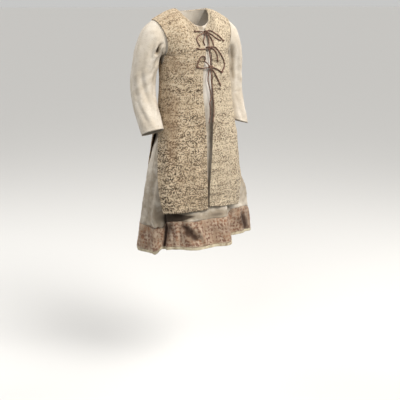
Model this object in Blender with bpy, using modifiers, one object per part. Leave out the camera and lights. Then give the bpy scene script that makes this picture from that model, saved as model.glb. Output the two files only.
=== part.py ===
"""A layered dress: a long-sleeved linen dress with a patterned hem band under a sleeveless
open-fronted woven over-tunic, which is tied at the chest with three leather laces.

Metres, +Z up. The garment faces -Y, the wearer's left is +X. The origin lies on the body's
upright axis at shoulder height. Angles run round the body: 0 degrees is the front and +90
degrees the wearer's left side.
"""

import math
from collections import namedtuple

import bmesh
import bpy
from mathutils import Vector
from mathutils.bvhtree import BVHTree

# Walls and clearances
DRESS_WALL = 0.0015
BAND_WALL = 0.0018
VEST_WALL = 0.0025
SEAM_GAP = 0.0005
ARMHOLE_GAP = 0.0008
ARMPIT_GAP = 0.0028
VEST_CLEARANCE = 0.0017
ARMPIT_CLEARANCE = 0.0035
FINITE_STEP = 0.002
SEARCH_STEPS = 40

# Cloth from a panel's middle to its side seam, and from the shoulder to the armpit
HALF_PANEL = 0.2
UPPER_LENGTH = 0.15

# Degrees to each side over which the over-tunic is kept off the slope of a fold
SLOPE_REACH = (-4.0, 0.0, 4.0)

# Middle of the body, and the height over which a sleeve's middle is averaged
BODY_AXIS = Vector((0.0, 0.02, 0.0))
RING_REACH = 0.02

# Neck, shoulders and armholes
NECK_HALF_WIDTH = 0.068
NECK_TOP_Z = 0.0265
RIDGE_Y = 0.022
FRONT_NECK_DEPTH = 0.070
FRONT_NECK_DROP = 0.062
BACK_NECK_DEPTH = 0.060
BACK_NECK_DROP = 0.008
SHOULDER_TIP_X = 0.169
SHOULDER_TIP_Z = -0.014
ARMPIT_Z = -0.140
ARMPIT_Y = 0.000
ARMHOLE_FRONT = 0.044
ARMHOLE_BACK = 0.032
ARMHOLE_BOW = 0.002
ARM_INSET_FRONT = 0.23
ARM_INSET_BACK = 0.30
NECK_SHARE = 0.42
EDGE_BLEND_POWER = 4.0
NECK_CURVE = 1.3
SHOULDER_CURVE = 1.5

# How far the cloth bellies between its top edge and the armpits
FRONT_FULLNESS = 0.30
BACK_FULLNESS = 0.75
SIDE_FULLNESS = 0.92
FULL_FROM = 0.6

# Hem
BAND_HEIGHT = 0.096
BINDING_HEIGHT = 0.010
FOLD_START_Z = -0.48
FOLD_FULL_Z = -0.86

# Over-tunic outline. Shares are of the dress's own rows and half width.
VEST_TOP_SHARE = 0.014
VEST_V_SHARE = 0.17
VEST_V_REACH = 0.22
VEST_ARM_EDGE = 0.955
VEST_ARM_EDGE_LOW = 0.89
VEST_ARM_EDGE_LOW_BACK = 0.86
VEST_ARMHOLE_DROP = 0.035

Section = namedtuple("Section", "z half_width front back")
DRESS_SECTIONS = (
    Section(-0.140, 0.138, 0.103, 0.096),
    Section(-0.250, 0.137, 0.105, 0.088),
    Section(-0.370, 0.143, 0.103, 0.094),
    Section(-0.450, 0.160, 0.106, 0.108),
    Section(-0.520, 0.180, 0.115, 0.120),
    Section(-0.620, 0.202, 0.130, 0.136),
    Section(-0.720, 0.218, 0.150, 0.155),
    Section(-0.870, 0.235, 0.188, 0.188),
    Section(-0.940, 0.242, 0.200, 0.198),
)

# Folds of the skirt: angle, spread and rise, and how far a fold bows round at the band's top
FOLD_BOW_Z = -0.80
FOLD_BOW_REACH = 0.055
Fold = namedtuple("Fold", "angle spread rise bow", defaults=(0.0,))
DRESS_FOLDS = (
    Fold(-106.0, 10.0, 0.004),
    Fold(-84.0, 8.5, -0.011),
    Fold(-75.0, 7.0, 0.007, 3.0),
    Fold(-65.5, 5.6, -0.038, 3.0),
    Fold(-52.0, 9.0, -0.010),
    Fold(-42.0, 7.0, -0.006),
    Fold(-26.0, 9.0, 0.010),
    Fold(-6.0, 7.0, -0.007),
    Fold(8.0, 7.0, 0.010),
    Fold(26.0, 9.0, -0.026),
    Fold(42.0, 11.0, -0.058),
    Fold(60.0, 6.0, -0.010),
    Fold(83.0, 10.0, 0.038),
    Fold(107.0, 8.0, -0.020),
    Fold(125.0, 9.0, 0.014),
    Fold(146.0, 9.0, -0.020),
    Fold(166.0, 9.0, 0.014),
    Fold(-175.0, 9.0, -0.018),
    Fold(-154.0, 10.0, 0.015),
    Fold(-130.0, 9.0, -0.020),
)

HemRow = namedtuple("HemRow", "angle z")
DRESS_HEM = (
    HemRow(-180.0, -0.882),
    HemRow(-135.0, -0.892),
    HemRow(-108.0, -0.904),
    HemRow(-84.0, -0.901),
    HemRow(-75.0, -0.900),
    HemRow(-62.0, -0.879),
    HemRow(-50.0, -0.871),
    HemRow(0.0, -0.869),
    HemRow(20.0, -0.871),
    HemRow(40.0, -0.868),
    HemRow(60.0, -0.868),
    HemRow(84.0, -0.884),
    HemRow(130.0, -0.880),
    HemRow(180.0, -0.882),
)

# Sections of the over-tunic's fronts and back. The two openings are the X of the front edges.
VestFrontRow = namedtuple(
    "VestFrontRow", "z shift half_width depth power open_right open_left"
)
VEST_FRONT_ROWS = (
    VestFrontRow(-0.140, 0.000, 0.1435, 0.1062, 1.00, -0.018, 0.010),
    VestFrontRow(-0.200, 0.001, 0.1440, 0.1095, 0.90, -0.030, 0.011),
    VestFrontRow(-0.280, 0.002, 0.1480, 0.1120, 0.80, -0.032, 0.012),
    VestFrontRow(-0.370, 0.002, 0.1580, 0.1180, 0.72, -0.026, 0.010),
    VestFrontRow(-0.450, 0.000, 0.1740, 0.1260, 0.66, -0.025, 0.003),
    VestFrontRow(-0.513, -0.006, 0.1840, 0.1340, 0.62, -0.029, -0.005),
    VestFrontRow(-0.580, -0.012, 0.1930, 0.1410, 0.58, -0.033, -0.015),
    VestFrontRow(-0.644, -0.018, 0.1980, 0.1480, 0.56, -0.034, -0.025),
    VestFrontRow(-0.735, -0.026, 0.2030, 0.1560, 0.56, -0.038, -0.032),
)
VestBackRow = namedtuple("VestBackRow", "z shift half_width depth power")
VEST_BACK_ROWS = (
    VestBackRow(-0.140, 0.000, 0.1435, 0.0985, 1.00),
    VestBackRow(-0.200, 0.001, 0.1440, 0.0960, 1.00),
    VestBackRow(-0.280, 0.002, 0.1480, 0.0950, 1.00),
    VestBackRow(-0.370, 0.002, 0.1580, 0.1020, 1.00),
    VestBackRow(-0.450, 0.000, 0.1740, 0.1140, 0.98),
    VestBackRow(-0.580, 0.000, 0.1860, 0.1380, 0.90),
    VestBackRow(-0.735, 0.000, 0.2000, 0.1640, 0.84),
)

# Angles at which each front and the back end, at the side seams and down the side slits
SlitRow = namedtuple("SlitRow", "z right left back")
SLIT_EDGES = (
    SlitRow(-0.400, 90.0, 90.0, 90.0),
    SlitRow(-0.430, 88.5, 89.0, 82.0),
    SlitRow(-0.520, 82.0, 86.0, 64.0),
    SlitRow(-0.644, 73.5, 79.0, 55.0),
    SlitRow(-0.735, 61.5, 51.0, 52.0),
)

# Lowest height of each panel at its inner edge and at its outer edge
PanelHem = namedtuple("PanelHem", "inner outer")
VEST_HEM_RIGHT = PanelHem(-0.722, -0.727)
VEST_HEM_LEFT = PanelHem(-0.712, -0.732)
VEST_HEM_BACK = PanelHem(-0.728, -0.734)

# Sleeves: ring centres down the arm, half sizes, the roll of the ring and the bend of the arm
SleeveRow = namedtuple("SleeveRow", "x y z out front roll bend lean")
SLEEVE_TOP = (
    SleeveRow(0.1535, 0.011, -0.0770, 0.0649, 0.0460, 76.0, 0.0, 0.011),
    SleeveRow(0.1720, 0.016, -0.0890, 0.0590, 0.0500, 62.0, 0.0, 0.007),
    SleeveRow(0.1820, 0.021, -0.1070, 0.0510, 0.0520, 42.0, 0.0, 0.003),
    SleeveRow(0.1915, 0.026, -0.1350, 0.0480, 0.0500, 24.0, 0.0, 0.0),
    SleeveRow(0.1980, 0.030, -0.1700, 0.0470, 0.0490, 12.0, 0.0, 0.0),
)
SLEEVE_RIGHT_END = (
    SleeveRow(0.2040, 0.035, -0.2150, 0.0460, 0.0480, 5.0, 4.0, 0.0),
    SleeveRow(0.2080, 0.035, -0.2620, 0.0460, 0.0475, 1.0, 10.0, 0.0),
    SleeveRow(0.2100, 0.022, -0.3060, 0.0450, 0.0460, 0.0, 24.0, 0.0),
    SleeveRow(0.2130, -0.005, -0.3540, 0.0435, 0.0445, 0.0, 30.0, 0.0),
    SleeveRow(0.2165, -0.048, -0.4200, 0.0410, 0.0425, -5.0, 22.0, 0.0),
)
SLEEVE_LEFT_END = (
    SleeveRow(0.2010, 0.033, -0.2150, 0.0450, 0.0470, 5.0, 2.0, 0.0),
    SleeveRow(0.2030, 0.032, -0.2620, 0.0445, 0.0460, 1.0, 5.0, 0.0),
    SleeveRow(0.2050, 0.026, -0.3080, 0.0430, 0.0445, 0.0, 12.0, 0.0),
    SleeveRow(0.2095, 0.012, -0.3600, 0.0415, 0.0430, -4.0, 12.0, 0.0),
    SleeveRow(0.2145, -0.008, -0.4160, 0.0395, 0.0410, -18.0, 0.0, 0.0),
)

# Leather laces and their knots. Each place on the front is its X and Z.
LACE_RADIUS = 0.0017
LACE_GAP = 0.0004
KNOT_MARGIN = 0.0009
LACE_STEP = 0.010
CURVE_STEPS = 12
SEATING_STEPS = 6
KNOT_LEVELS = 2

Knot = namedtuple("Knot", "name x z half_x half_y half_z")
KNOTS = (
    Knot("knot_top", 0.005, -0.0600, 0.0080, 0.0045, 0.0060),
    Knot("knot_middle", 0.001, -0.1155, 0.0125, 0.0050, 0.0058),
    Knot("knot_bottom", 0.000, -0.1840, 0.0080, 0.0055, 0.0068),
    Knot("knot_top_right_end", -0.0440, -0.0560, 0.0042, 0.0034, 0.0036),
    Knot("knot_middle_right_end", -0.0480, -0.1165, 0.0045, 0.0034, 0.0036),
    Knot("knot_bottom_right_end", -0.0530, -0.1830, 0.0048, 0.0036, 0.0040),
    Knot("knot_top_left_end", 0.0780, -0.0900, 0.0040, 0.0032, 0.0040),
    Knot("knot_bottom_left_end", 0.0540, -0.2055, 0.0048, 0.0036, 0.0042),
)

Lace = namedtuple("Lace", "name route")
LACES = (
    Lace("lace_top_right", ((-0.044, -0.056), (-0.020, -0.0565), (0.005, -0.060))),
    Lace(
        "lace_top_loop",
        (
            (0.005, -0.060),
            (-0.015, -0.0650),
            (-0.036, -0.0730),
            (-0.045, -0.083),
            (-0.042, -0.096),
            (-0.036, -0.109),
        ),
    ),
    Lace(
        "lace_top_inner",
        ((0.004, -0.060), (-0.007, -0.078), (-0.018, -0.092), (-0.014, -0.106)),
    ),
    Lace(
        "lace_top_cross",
        ((0.005, -0.060), (0.0095, -0.075), (0.0085, -0.088), (0.001, -0.1155)),
    ),
    Lace(
        "lace_top_outer",
        ((0.007, -0.060), (0.0190, -0.076), (0.0240, -0.090), (0.0250, -0.108)),
    ),
    Lace(
        "lace_top_left_upper",
        (
            (0.005, -0.060),
            (0.022, -0.053),
            (0.034, -0.056),
            (0.045, -0.063),
            (0.061, -0.074),
            (0.078, -0.090),
        ),
    ),
    Lace(
        "lace_top_left_lower",
        (
            (0.005, -0.060),
            (0.022, -0.0640),
            (0.036, -0.074),
            (0.050, -0.084),
            (0.065, -0.090),
        ),
    ),
    Lace("lace_middle_right", ((-0.048, -0.1165), (-0.025, -0.1190), (0.001, -0.1155))),
    Lace(
        "lace_middle_end",
        (
            (0.001, -0.1155),
            (0.020, -0.1200),
            (0.0290, -0.1310),
            (0.0345, -0.1500),
            (0.0350, -0.1690),
        ),
    ),
    Lace(
        "lace_middle_long",
        (
            (0.003, -0.1150),
            (0.024, -0.1115),
            (0.0400, -0.1220),
            (0.0520, -0.1400),
            (0.0680, -0.1590),
            (0.0740, -0.1790),
            (0.0660, -0.1940),
            (0.0540, -0.2055),
        ),
    ),
    Lace(
        "lace_down_the_middle",
        (
            (-0.001, -0.1160),
            (-0.0015, -0.1280),
            (-0.001, -0.1450),
            (0.001, -0.1620),
            (0.000, -0.1840),
        ),
    ),
    Lace("lace_bottom_right", ((-0.053, -0.183), (-0.028, -0.1870), (0.000, -0.184))),
    Lace(
        "lace_bottom_loops",
        (
            (-0.053, -0.183),
            (-0.050, -0.166),
            (-0.041, -0.148),
            (-0.030, -0.142),
            (-0.0205, -0.150),
            (-0.025, -0.161),
            (-0.015, -0.168),
            (0.000, -0.184),
        ),
    ),
    Lace("lace_bottom_left", ((0.000, -0.184), (0.026, -0.1900), (0.054, -0.2055))),
    Lace(
        "lace_bottom_end",
        (
            (0.000, -0.184),
            (0.014, -0.199),
            (0.023, -0.212),
            (0.036, -0.233),
            (0.050, -0.259),
        ),
    ),
    Lace(
        "lace_hanging_left",
        (
            (0.002, -0.184),
            (0.003, -0.212),
            (0.003, -0.236),
            (0.0085, -0.268),
            (0.0100, -0.300),
            (0.0120, -0.330),
            (0.0110, -0.359),
            (0.0040, -0.392),
        ),
    ),
    Lace(
        "lace_hanging_right",
        (
            (-0.003, -0.184),
            (-0.009, -0.205),
            (-0.012, -0.232),
            (-0.005, -0.260),
            (0.001, -0.298),
            (-0.006, -0.316),
            (-0.004, -0.340),
            (-0.005, -0.366),
            (-0.013, -0.394),
        ),
    ),
)

# Grids: columns round the body or arm, rows down it
FRONT_COLUMNS = 30
BACK_COLUMNS = 22
UPPER_ROWS = 7
SKIRT_ROWS = 10
BAND_ROWS = 2
DRESS_NECK_COLUMNS = 10
VEST_FRONT_COLUMNS = 10
VEST_NECK_COLUMNS = 4
VEST_BACK_COLUMNS = 18
VEST_UPPER_ROWS = 8
VEST_LOWER_ROWS = 11
SLEEVE_COLUMNS = 16
SLEEVE_ROWS = 13


def lerp(start, end, share):
    """Value that lies this share of the way from start to end."""
    return start + (end - start) * share


def smooth(share):
    """Share eased at both ends and held within 0 and 1."""
    share = min(max(share, 0.0), 1.0)
    return share * share * (3.0 - 2.0 * share)


def read_table(rows, key, at, column):
    """Column of a table at a key value, by a smooth curve through its rows."""
    keys = [getattr(row, key) for row in rows]
    values = [getattr(row, column) for row in rows]
    if keys[0] > keys[-1]:
        keys.reverse()
        values.reverse()
    if at <= keys[0]:
        return values[0]
    if at >= keys[-1]:
        return values[-1]
    last = len(keys) - 1
    i = max(index for index in range(last) if keys[index] <= at)
    width = keys[i + 1] - keys[i]
    share = (at - keys[i]) / width
    before, after = max(i - 1, 0), min(i + 2, last)
    slope_start = (values[i + 1] - values[before]) / (keys[i + 1] - keys[before]) * width
    slope_end = (values[after] - values[i]) / (keys[after] - keys[i]) * width
    square, cube = share * share, share * share * share
    return (
        (2 * cube - 3 * square + 1) * values[i]
        + (cube - 2 * square + share) * slope_start
        + (3 * square - 2 * cube) * values[i + 1]
        + (cube - square) * slope_end
    )


def signed_power(value, power):
    """Power of the size of a value, with its sign kept."""
    return math.copysign(abs(value) ** power, value)


def fold_rise(angle, z):
    """How far the skirt's folds stand out from its plain section."""
    growth = smooth((FOLD_START_Z - z) / (FOLD_START_Z - FOLD_FULL_Z))
    bow = math.exp(-(((z - FOLD_BOW_Z) / FOLD_BOW_REACH) ** 2))
    total = 0.0
    for fold in DRESS_FOLDS:
        away = (angle - fold.angle - fold.bow * bow + 180.0) % 360.0 - 180.0
        total += fold.rise * math.exp(-((away / fold.spread) ** 2))
    return growth * total


def dress_section(angle, z):
    """Point on the inside of the dress below the armpits."""
    turn = math.radians(angle)
    depth = "front" if math.cos(turn) >= 0.0 else "back"
    x = read_table(DRESS_SECTIONS, "z", z, "half_width") * math.sin(turn)
    y = -read_table(DRESS_SECTIONS, "z", z, depth) * math.cos(turn)
    stretch = 1.0 + fold_rise(angle, z) / math.hypot(x, y)
    return Vector((x * stretch, y * stretch, z))


def armhole(depth_share, side, face):
    """Point on an armhole seam. The share is 0 at the shoulder tip and 1 at the armpit."""
    bulge = 2.0 * math.sqrt(max(depth_share * (1.0 - depth_share), 0.0))
    armpit_x = DRESS_SECTIONS[0].half_width
    x = lerp(SHOULDER_TIP_X, armpit_x, depth_share) - ARMHOLE_BOW * bulge
    y = lerp(RIDGE_Y, ARMPIT_Y, depth_share)
    y += bulge * (-ARMHOLE_FRONT if face < 0 else ARMHOLE_BACK)
    return Vector((side * x, y, lerp(SHOULDER_TIP_Z, ARMPIT_Z, depth_share)))


def top_edge(across, face):
    """Point on the neckline or the shoulder seam. Across runs from -1 to 1."""
    side = math.copysign(1.0, across)
    share = abs(across)
    if share <= NECK_SHARE:
        turn = share / NECK_SHARE * math.pi / 2.0
        reach = FRONT_NECK_DEPTH if face < 0 else BACK_NECK_DEPTH
        drop = FRONT_NECK_DROP if face < 0 else BACK_NECK_DROP
        x = NECK_HALF_WIDTH * math.sin(turn)
        y = RIDGE_Y + face * reach * math.cos(turn)
        return Vector((side * x, y, NECK_TOP_Z - drop * math.cos(turn) ** NECK_CURVE))
    along = (share - NECK_SHARE) / (1.0 - NECK_SHARE)
    x = lerp(NECK_HALF_WIDTH, SHOULDER_TIP_X, along)
    z = lerp(NECK_TOP_Z, SHOULDER_TIP_Z, along**SHOULDER_CURVE)
    return Vector((side * x, RIDGE_Y, z))


def upper_body(across, down, face):
    """Point on the inside of the dress above the armpits. Down runs from 0 to 1."""
    middle = FRONT_FULLNESS if face < 0 else BACK_FULLNESS
    fullness = lerp(middle, SIDE_FULLNESS, smooth(abs(across) / FULL_FROM))
    quarter = down * math.pi / 2.0
    sunk = lerp(down, 1.0 - math.cos(quarter), fullness)
    moved = lerp(down, math.sin(quarter), fullness)
    top = top_edge(across, face)
    bulge = 2.0 * math.sqrt(max(sunk * (1.0 - sunk), 0.0))
    inset = 1.0 - bulge * (ARM_INSET_FRONT if face < 0 else ARM_INSET_BACK)
    angle = 90.0 * across * inset
    angle = angle if face < 0 else 180.0 - angle
    base = dress_section(angle, ARMPIT_Z)
    torso = Vector(
        (
            lerp(top.x, base.x, moved),
            lerp(top.y, base.y, moved),
            lerp(top.z, base.z, sunk),
        )
    )
    side = math.copysign(1.0, across)
    edge_share = abs(across) ** EDGE_BLEND_POWER
    return torso.lerp(armhole(sunk, side, face), edge_share)


def hem_z(angle):
    """Height of the dress's lowest edge at this angle."""
    turned = (angle + 180.0) % 360.0 - 180.0
    return read_table(DRESS_HEM, "angle", turned, "z")


def grid_mesh(name, columns, rows, place, wall, material, closed=False):
    """Solid cloth panel on a grid whose inside follows a surface.

    The surface function takes shares across and down, each from 0 to 1.
    """
    mesh = bpy.data.meshes.new(name)
    shape = bmesh.new()
    bmesh.ops.create_grid(shape, x_segments=columns, y_segments=rows, size=1.0)
    for vertex in shape.verts:
        across, down = (vertex.co.x + 1.0) / 2.0, (1.0 - vertex.co.y) / 2.0
        vertex.co = place(across, down)
    if closed:
        bmesh.ops.remove_doubles(shape, verts=shape.verts, dist=1e-6)
    bmesh.ops.recalc_face_normals(shape, faces=shape.faces)
    shape.normal_update()
    outward = 0.0
    for face in shape.faces:
        centre = face.calc_center_median()
        level = [v.co for v in shape.verts if abs(v.co.z - centre.z) < RING_REACH]
        hub = sum(level, Vector()) / len(level) if closed else BODY_AXIS
        outward += face.normal.xy.dot(centre.xy - hub.xy)
    if outward < 0.0:
        bmesh.ops.reverse_faces(shape, faces=shape.faces)
    for face in shape.faces:
        face.smooth = True
    shape.to_mesh(mesh)
    shape.free()
    panel = bpy.data.objects.new(name, mesh)
    mesh.materials.append(material)
    solidify = panel.modifiers.new("Wall", "SOLIDIFY")
    solidify.thickness = wall
    solidify.offset = 1.0
    return panel


def past_neck(share, neck_columns, columns):
    """Share across with a grid column on the neck point, where the outline turns."""
    bend = neck_columns / columns
    if abs(share) <= bend:
        return share * NECK_SHARE / bend
    beyond = (abs(share) - bend) / (1.0 - bend)
    return math.copysign(lerp(NECK_SHARE, 1.0, beyond), share)


def dress_panel(name, face, columns, material):
    """Front or back of the dress, from the neckline to the band seam."""
    rows = UPPER_ROWS + SKIRT_ROWS
    upper_share = UPPER_ROWS / rows
    trim = SEAM_GAP / 2.0

    def place(across_share, down_share):
        across = past_neck(lerp(-1.0, 1.0, across_share), DRESS_NECK_COLUMNS, columns)
        across *= 1.0 - trim / HALF_PANEL
        if down_share <= upper_share:
            down = lerp(trim / UPPER_LENGTH, 1.0, down_share / upper_share)
            return upper_body(across, down, face)
        angle = 90.0 * across if face < 0 else 180.0 - 90.0 * across
        lower = (down_share - upper_share) / (1.0 - upper_share)
        bottom = hem_z(angle) + BINDING_HEIGHT + BAND_HEIGHT + trim
        return dress_section(angle, lerp(ARMPIT_Z, bottom, lower))

    return grid_mesh(name, columns, rows, place, DRESS_WALL, material)


def hem_strip(name, face, columns, rows, low, high, wall, material):
    """Strip of the skirt between two heights above its lowest edge."""
    trim = SEAM_GAP / 2.0

    def place(across_share, down_share):
        across = past_neck(lerp(-1.0, 1.0, across_share), DRESS_NECK_COLUMNS, columns)
        across *= 1.0 - trim / HALF_PANEL
        angle = 90.0 * across if face < 0 else 180.0 - 90.0 * across
        z = hem_z(angle) + lerp(high - trim, low + (trim if low else 0.0), down_share)
        return dress_section(angle, z)

    return grid_mesh(name, columns, rows, place, wall, material)


def sleeve_row(rows, share):
    """Sleeve ring at this share of the way down the arm."""
    at = share * (len(rows) - 1)
    Step = namedtuple("Step", ("step",) + SleeveRow._fields)
    steps = [Step(index, *row) for index, row in enumerate(rows)]
    return SleeveRow(*(read_table(steps, "step", at, name) for name in SleeveRow._fields))


def arm_ring(row, turn):
    """Point on one ring of a left sleeve, at this turn from its outer side to its front."""
    roll, bend = math.radians(row.roll), math.radians(row.bend)
    outward = Vector((math.cos(roll), row.lean / row.out, math.sin(roll)))
    forward = Vector((0.0, -math.cos(bend), math.sin(bend)))
    centre = Vector((row.x, row.y, row.z))
    return centre + row.out * math.cos(turn) * outward + row.front * math.sin(turn) * forward


def sleeve(name, side, rows, material):
    """Sleeve from the armhole seam to the cuff, an open tube round the arm."""

    def place(across_share, down_share):
        turn = math.tau * across_share
        point = arm_ring(sleeve_row(rows, down_share), turn)
        sunk = (1.0 - math.cos(turn)) / 2.0
        seam = armhole(sunk, 1.0, -1.0 if math.sin(turn) > 0.0 else 1.0)
        seam.x += ARMHOLE_GAP + ARMPIT_GAP * sunk * sunk
        fade = smooth(1.0 - down_share * (len(rows) - 1))
        point += (seam - arm_ring(rows[0], turn)) * fade
        return Vector((side * point.x, point.y, point.z))

    return grid_mesh(name, SLEEVE_COLUMNS, SLEEVE_ROWS, place, DRESS_WALL, material, True)


def vest_section(angle, z):
    """Point on the inside of the over-tunic below the armpits, kept off the dress."""
    turn = math.radians(angle)
    rows = VEST_FRONT_ROWS if math.cos(turn) >= 0.0 else VEST_BACK_ROWS
    power = read_table(rows, "z", z, "power")
    x = read_table(rows, "z", z, "shift")
    x += read_table(rows, "z", z, "half_width") * math.sin(turn)
    y = -read_table(rows, "z", z, "depth") * signed_power(math.cos(turn), power)
    half_width = read_table(DRESS_SECTIONS, "z", z, "half_width")
    dress_depth = read_table(DRESS_SECTIONS, "z", z, "front" if y < 0.0 else "back")
    dress_angle = math.degrees(math.atan2(x / half_width, -y / dress_depth))
    under = [dress_section(dress_angle + turned, z) for turned in SLOPE_REACH]
    least = max(point.xy.length for point in under) + DRESS_WALL + VEST_CLEARANCE
    reach = math.hypot(x, y)
    stretch = max(1.0, least / reach)
    return Vector((x * stretch, y * stretch, z))


def vest_upper(across, down, face):
    """Point on the inside of the over-tunic above the armpits: the dress moved outwards."""
    across = min(max(across, -1.0), 1.0)
    here = upper_body(across, down, face)
    east = upper_body(across + FINITE_STEP, down, face)
    west = upper_body(across - FINITE_STEP, down, face)
    below = upper_body(across, down + FINITE_STEP, face)
    above = upper_body(across, max(down - FINITE_STEP, 0.0), face)
    normal = (east - west).cross(below - above).normalized()
    clearance = VEST_CLEARANCE + ARMPIT_CLEARANCE * down * across**4
    return here + normal * face * (DRESS_WALL + clearance)


def arm_edge(z, low):
    """Share of the half width at which the over-tunic's armhole edge lies at this height."""
    fallen = min(max((ARMPIT_Z - z) / VEST_ARMHOLE_DROP, 0.0), 1.0)
    return lerp(low, 1.0 - SEAM_GAP / 2.0 / HALF_PANEL, fallen * fallen)


def vest_front(name, side, panel_hem, material):
    """Front of the over-tunic on one side, from the shoulder seam and neckline to its hem."""
    rows = VEST_UPPER_ROWS + VEST_LOWER_ROWS
    upper_share = VEST_UPPER_ROWS / rows
    column = "open_right" if side < 0 else "open_left"
    slit_column = "right" if side < 0 else "left"

    def open_angle(z):
        reach = read_table(VEST_FRONT_ROWS, "z", z, column)
        reach -= read_table(VEST_FRONT_ROWS, "z", z, "shift")
        return math.degrees(math.asin(reach / read_table(VEST_FRONT_ROWS, "z", z, "half_width")))

    def place(across_share, down_share):
        if down_share <= upper_share:
            start = open_angle(ARMPIT_Z) / 90.0
            edge = lerp(VEST_ARM_EDGE, VEST_ARM_EDGE_LOW, smooth(down_share / upper_share))
            bend = VEST_NECK_COLUMNS / VEST_FRONT_COLUMNS
            across = lerp(start, side * NECK_SHARE, across_share / bend)
            if across_share > bend:
                beyond = (across_share - bend) / (1.0 - bend)
                across = side * lerp(NECK_SHARE, edge, beyond)
            v_share = max(0.0, 1.0 - abs(across) / VEST_V_REACH)
            top = lerp(VEST_TOP_SHARE, VEST_V_SHARE, v_share)
            return vest_upper(across, lerp(top, 1.0, down_share / upper_share), -1)
        lower = (down_share - upper_share) / (1.0 - upper_share)
        z = lerp(ARMPIT_Z, lerp(panel_hem.inner, panel_hem.outer, across_share), lower)
        end = read_table(SLIT_EDGES, "z", z, slit_column)
        end = min(90.0 * arm_edge(z, VEST_ARM_EDGE_LOW), end)
        return vest_section(lerp(open_angle(z), side * end, across_share), z)

    return grid_mesh(name, VEST_FRONT_COLUMNS, rows, place, VEST_WALL, material)


def vest_back(name, material):
    """Back of the over-tunic, from the shoulder seams and neckline to its hem."""
    rows = VEST_UPPER_ROWS + VEST_LOWER_ROWS
    upper_share = VEST_UPPER_ROWS / rows

    def place(across_share, down_share):
        spread = lerp(-1.0, 1.0, across_share)
        if down_share <= upper_share:
            down = lerp(VEST_TOP_SHARE, 1.0, down_share / upper_share)
            edge = lerp(VEST_ARM_EDGE, VEST_ARM_EDGE_LOW_BACK, smooth(down_share / upper_share))
            across = past_neck(spread, 2 * VEST_NECK_COLUMNS, VEST_BACK_COLUMNS)
            return vest_upper(across * edge, down, 1)
        lower = (down_share - upper_share) / (1.0 - upper_share)
        z = lerp(ARMPIT_Z, lerp(VEST_HEM_BACK.inner, VEST_HEM_BACK.outer, abs(spread)), lower)
        end = read_table(SLIT_EDGES, "z", z, "back")
        end = min(90.0 * arm_edge(z, VEST_ARM_EDGE_LOW_BACK), end)
        return vest_section(180.0 - spread * end, z)

    return grid_mesh(name, VEST_BACK_COLUMNS, rows, place, VEST_WALL, material)


def chest_depth(x, z):
    """Y of the inside of the over-tunic's front at this X and Z, also across its opening."""
    if z <= ARMPIT_Z:
        reach = x - read_table(VEST_FRONT_ROWS, "z", z, "shift")
        turn = math.asin(reach / read_table(VEST_FRONT_ROWS, "z", z, "half_width"))
        return vest_section(math.degrees(turn), z).y
    across, down = 0.0, 0.5
    for _ in range(SEARCH_STEPS):
        found = vest_upper(across, down, -1)
        across = min(max(across + (x - found.x) / HALF_PANEL, -0.95), 0.95)
        down = min(max(down + (found.z - z) / UPPER_LENGTH, 0.01), 1.0)
    return vest_upper(across, down, -1).y


def chest_normal(x, z):
    """Outward direction of the over-tunic's front at this X and Z."""
    slope_x = chest_depth(x + FINITE_STEP, z) - chest_depth(x - FINITE_STEP, z)
    slope_z = chest_depth(x, z + FINITE_STEP) - chest_depth(x, z - FINITE_STEP)
    return Vector((slope_x, -2.0 * FINITE_STEP, slope_z)).normalized()


def on_chest(x, z, lift):
    """Point this far in front of the over-tunic's outer face."""
    return Vector((x, chest_depth(x, z), z)) + chest_normal(x, z) * (VEST_WALL + lift)


def knot_reach(knot):
    """How far a knot reaches towards the cloth from its middle."""
    sizes = Vector((knot.half_x, knot.half_y, knot.half_z))
    return (sizes * chest_normal(knot.x, knot.z)).length


def rest_on_cloth(point, x, z, reach, cloths):
    """Point pushed off the cloth panels until it is this far from them."""
    for _ in range(SEATING_STEPS):
        nearest = min(cloth.find_nearest(point)[3] for cloth in cloths)
        if nearest >= reach:
            break
        point = point + chest_normal(x, z) * (reach - nearest)
    return point


def knot_centre(knot, cloths):
    """Where a knot's middle lies when it rests on the cloth."""
    reach = knot_reach(knot) + LACE_GAP
    return rest_on_cloth(on_chest(knot.x, knot.z, reach), knot.x, knot.z, reach, cloths)


def in_a_knot(point, centres):
    """Whether a lace's middle line is inside one of the knots."""
    for knot, centre in zip(KNOTS, centres):
        away = point - centre
        share = Vector(
            (
                away.x / (knot.half_x + KNOT_MARGIN),
                away.y / (knot.half_y + KNOT_MARGIN),
                away.z / (knot.half_z + KNOT_MARGIN),
            )
        )
        if share.length < 1.0:
            return True
    return False


def smooth_route(points):
    """Closely spaced points along a smooth curve through a route's points."""
    dense = []
    padded = [points[0], *points, points[-1]]
    for before, start, end, after in zip(padded, padded[1:], padded[2:], padded[3:]):
        for index in range(CURVE_STEPS):
            t = index / CURVE_STEPS
            dense.append(
                0.5
                * (
                    2.0 * start
                    + (end - before) * t
                    + (2.0 * before - 5.0 * start + 4.0 * end - after) * t * t
                    + (3.0 * start - 3.0 * end + after - before) * t * t * t
                )
            )
    dense.append(points[-1].copy())
    return dense


def even_points(dense, step):
    """Points spread evenly along a dense line, with both its ends."""
    lengths = [0.0]
    for start, end in zip(dense, dense[1:]):
        lengths.append(lengths[-1] + (end - start).length)
    count = max(2, round(lengths[-1] / step) + 1)
    points, i = [], 0
    for index in range(count):
        along = lengths[-1] * index / (count - 1)
        while i < len(dense) - 2 and lengths[i + 1] < along:
            i += 1
        span = lengths[i + 1] - lengths[i]
        points.append(dense[i].lerp(dense[i + 1], (along - lengths[i]) / span))
    return points


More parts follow.
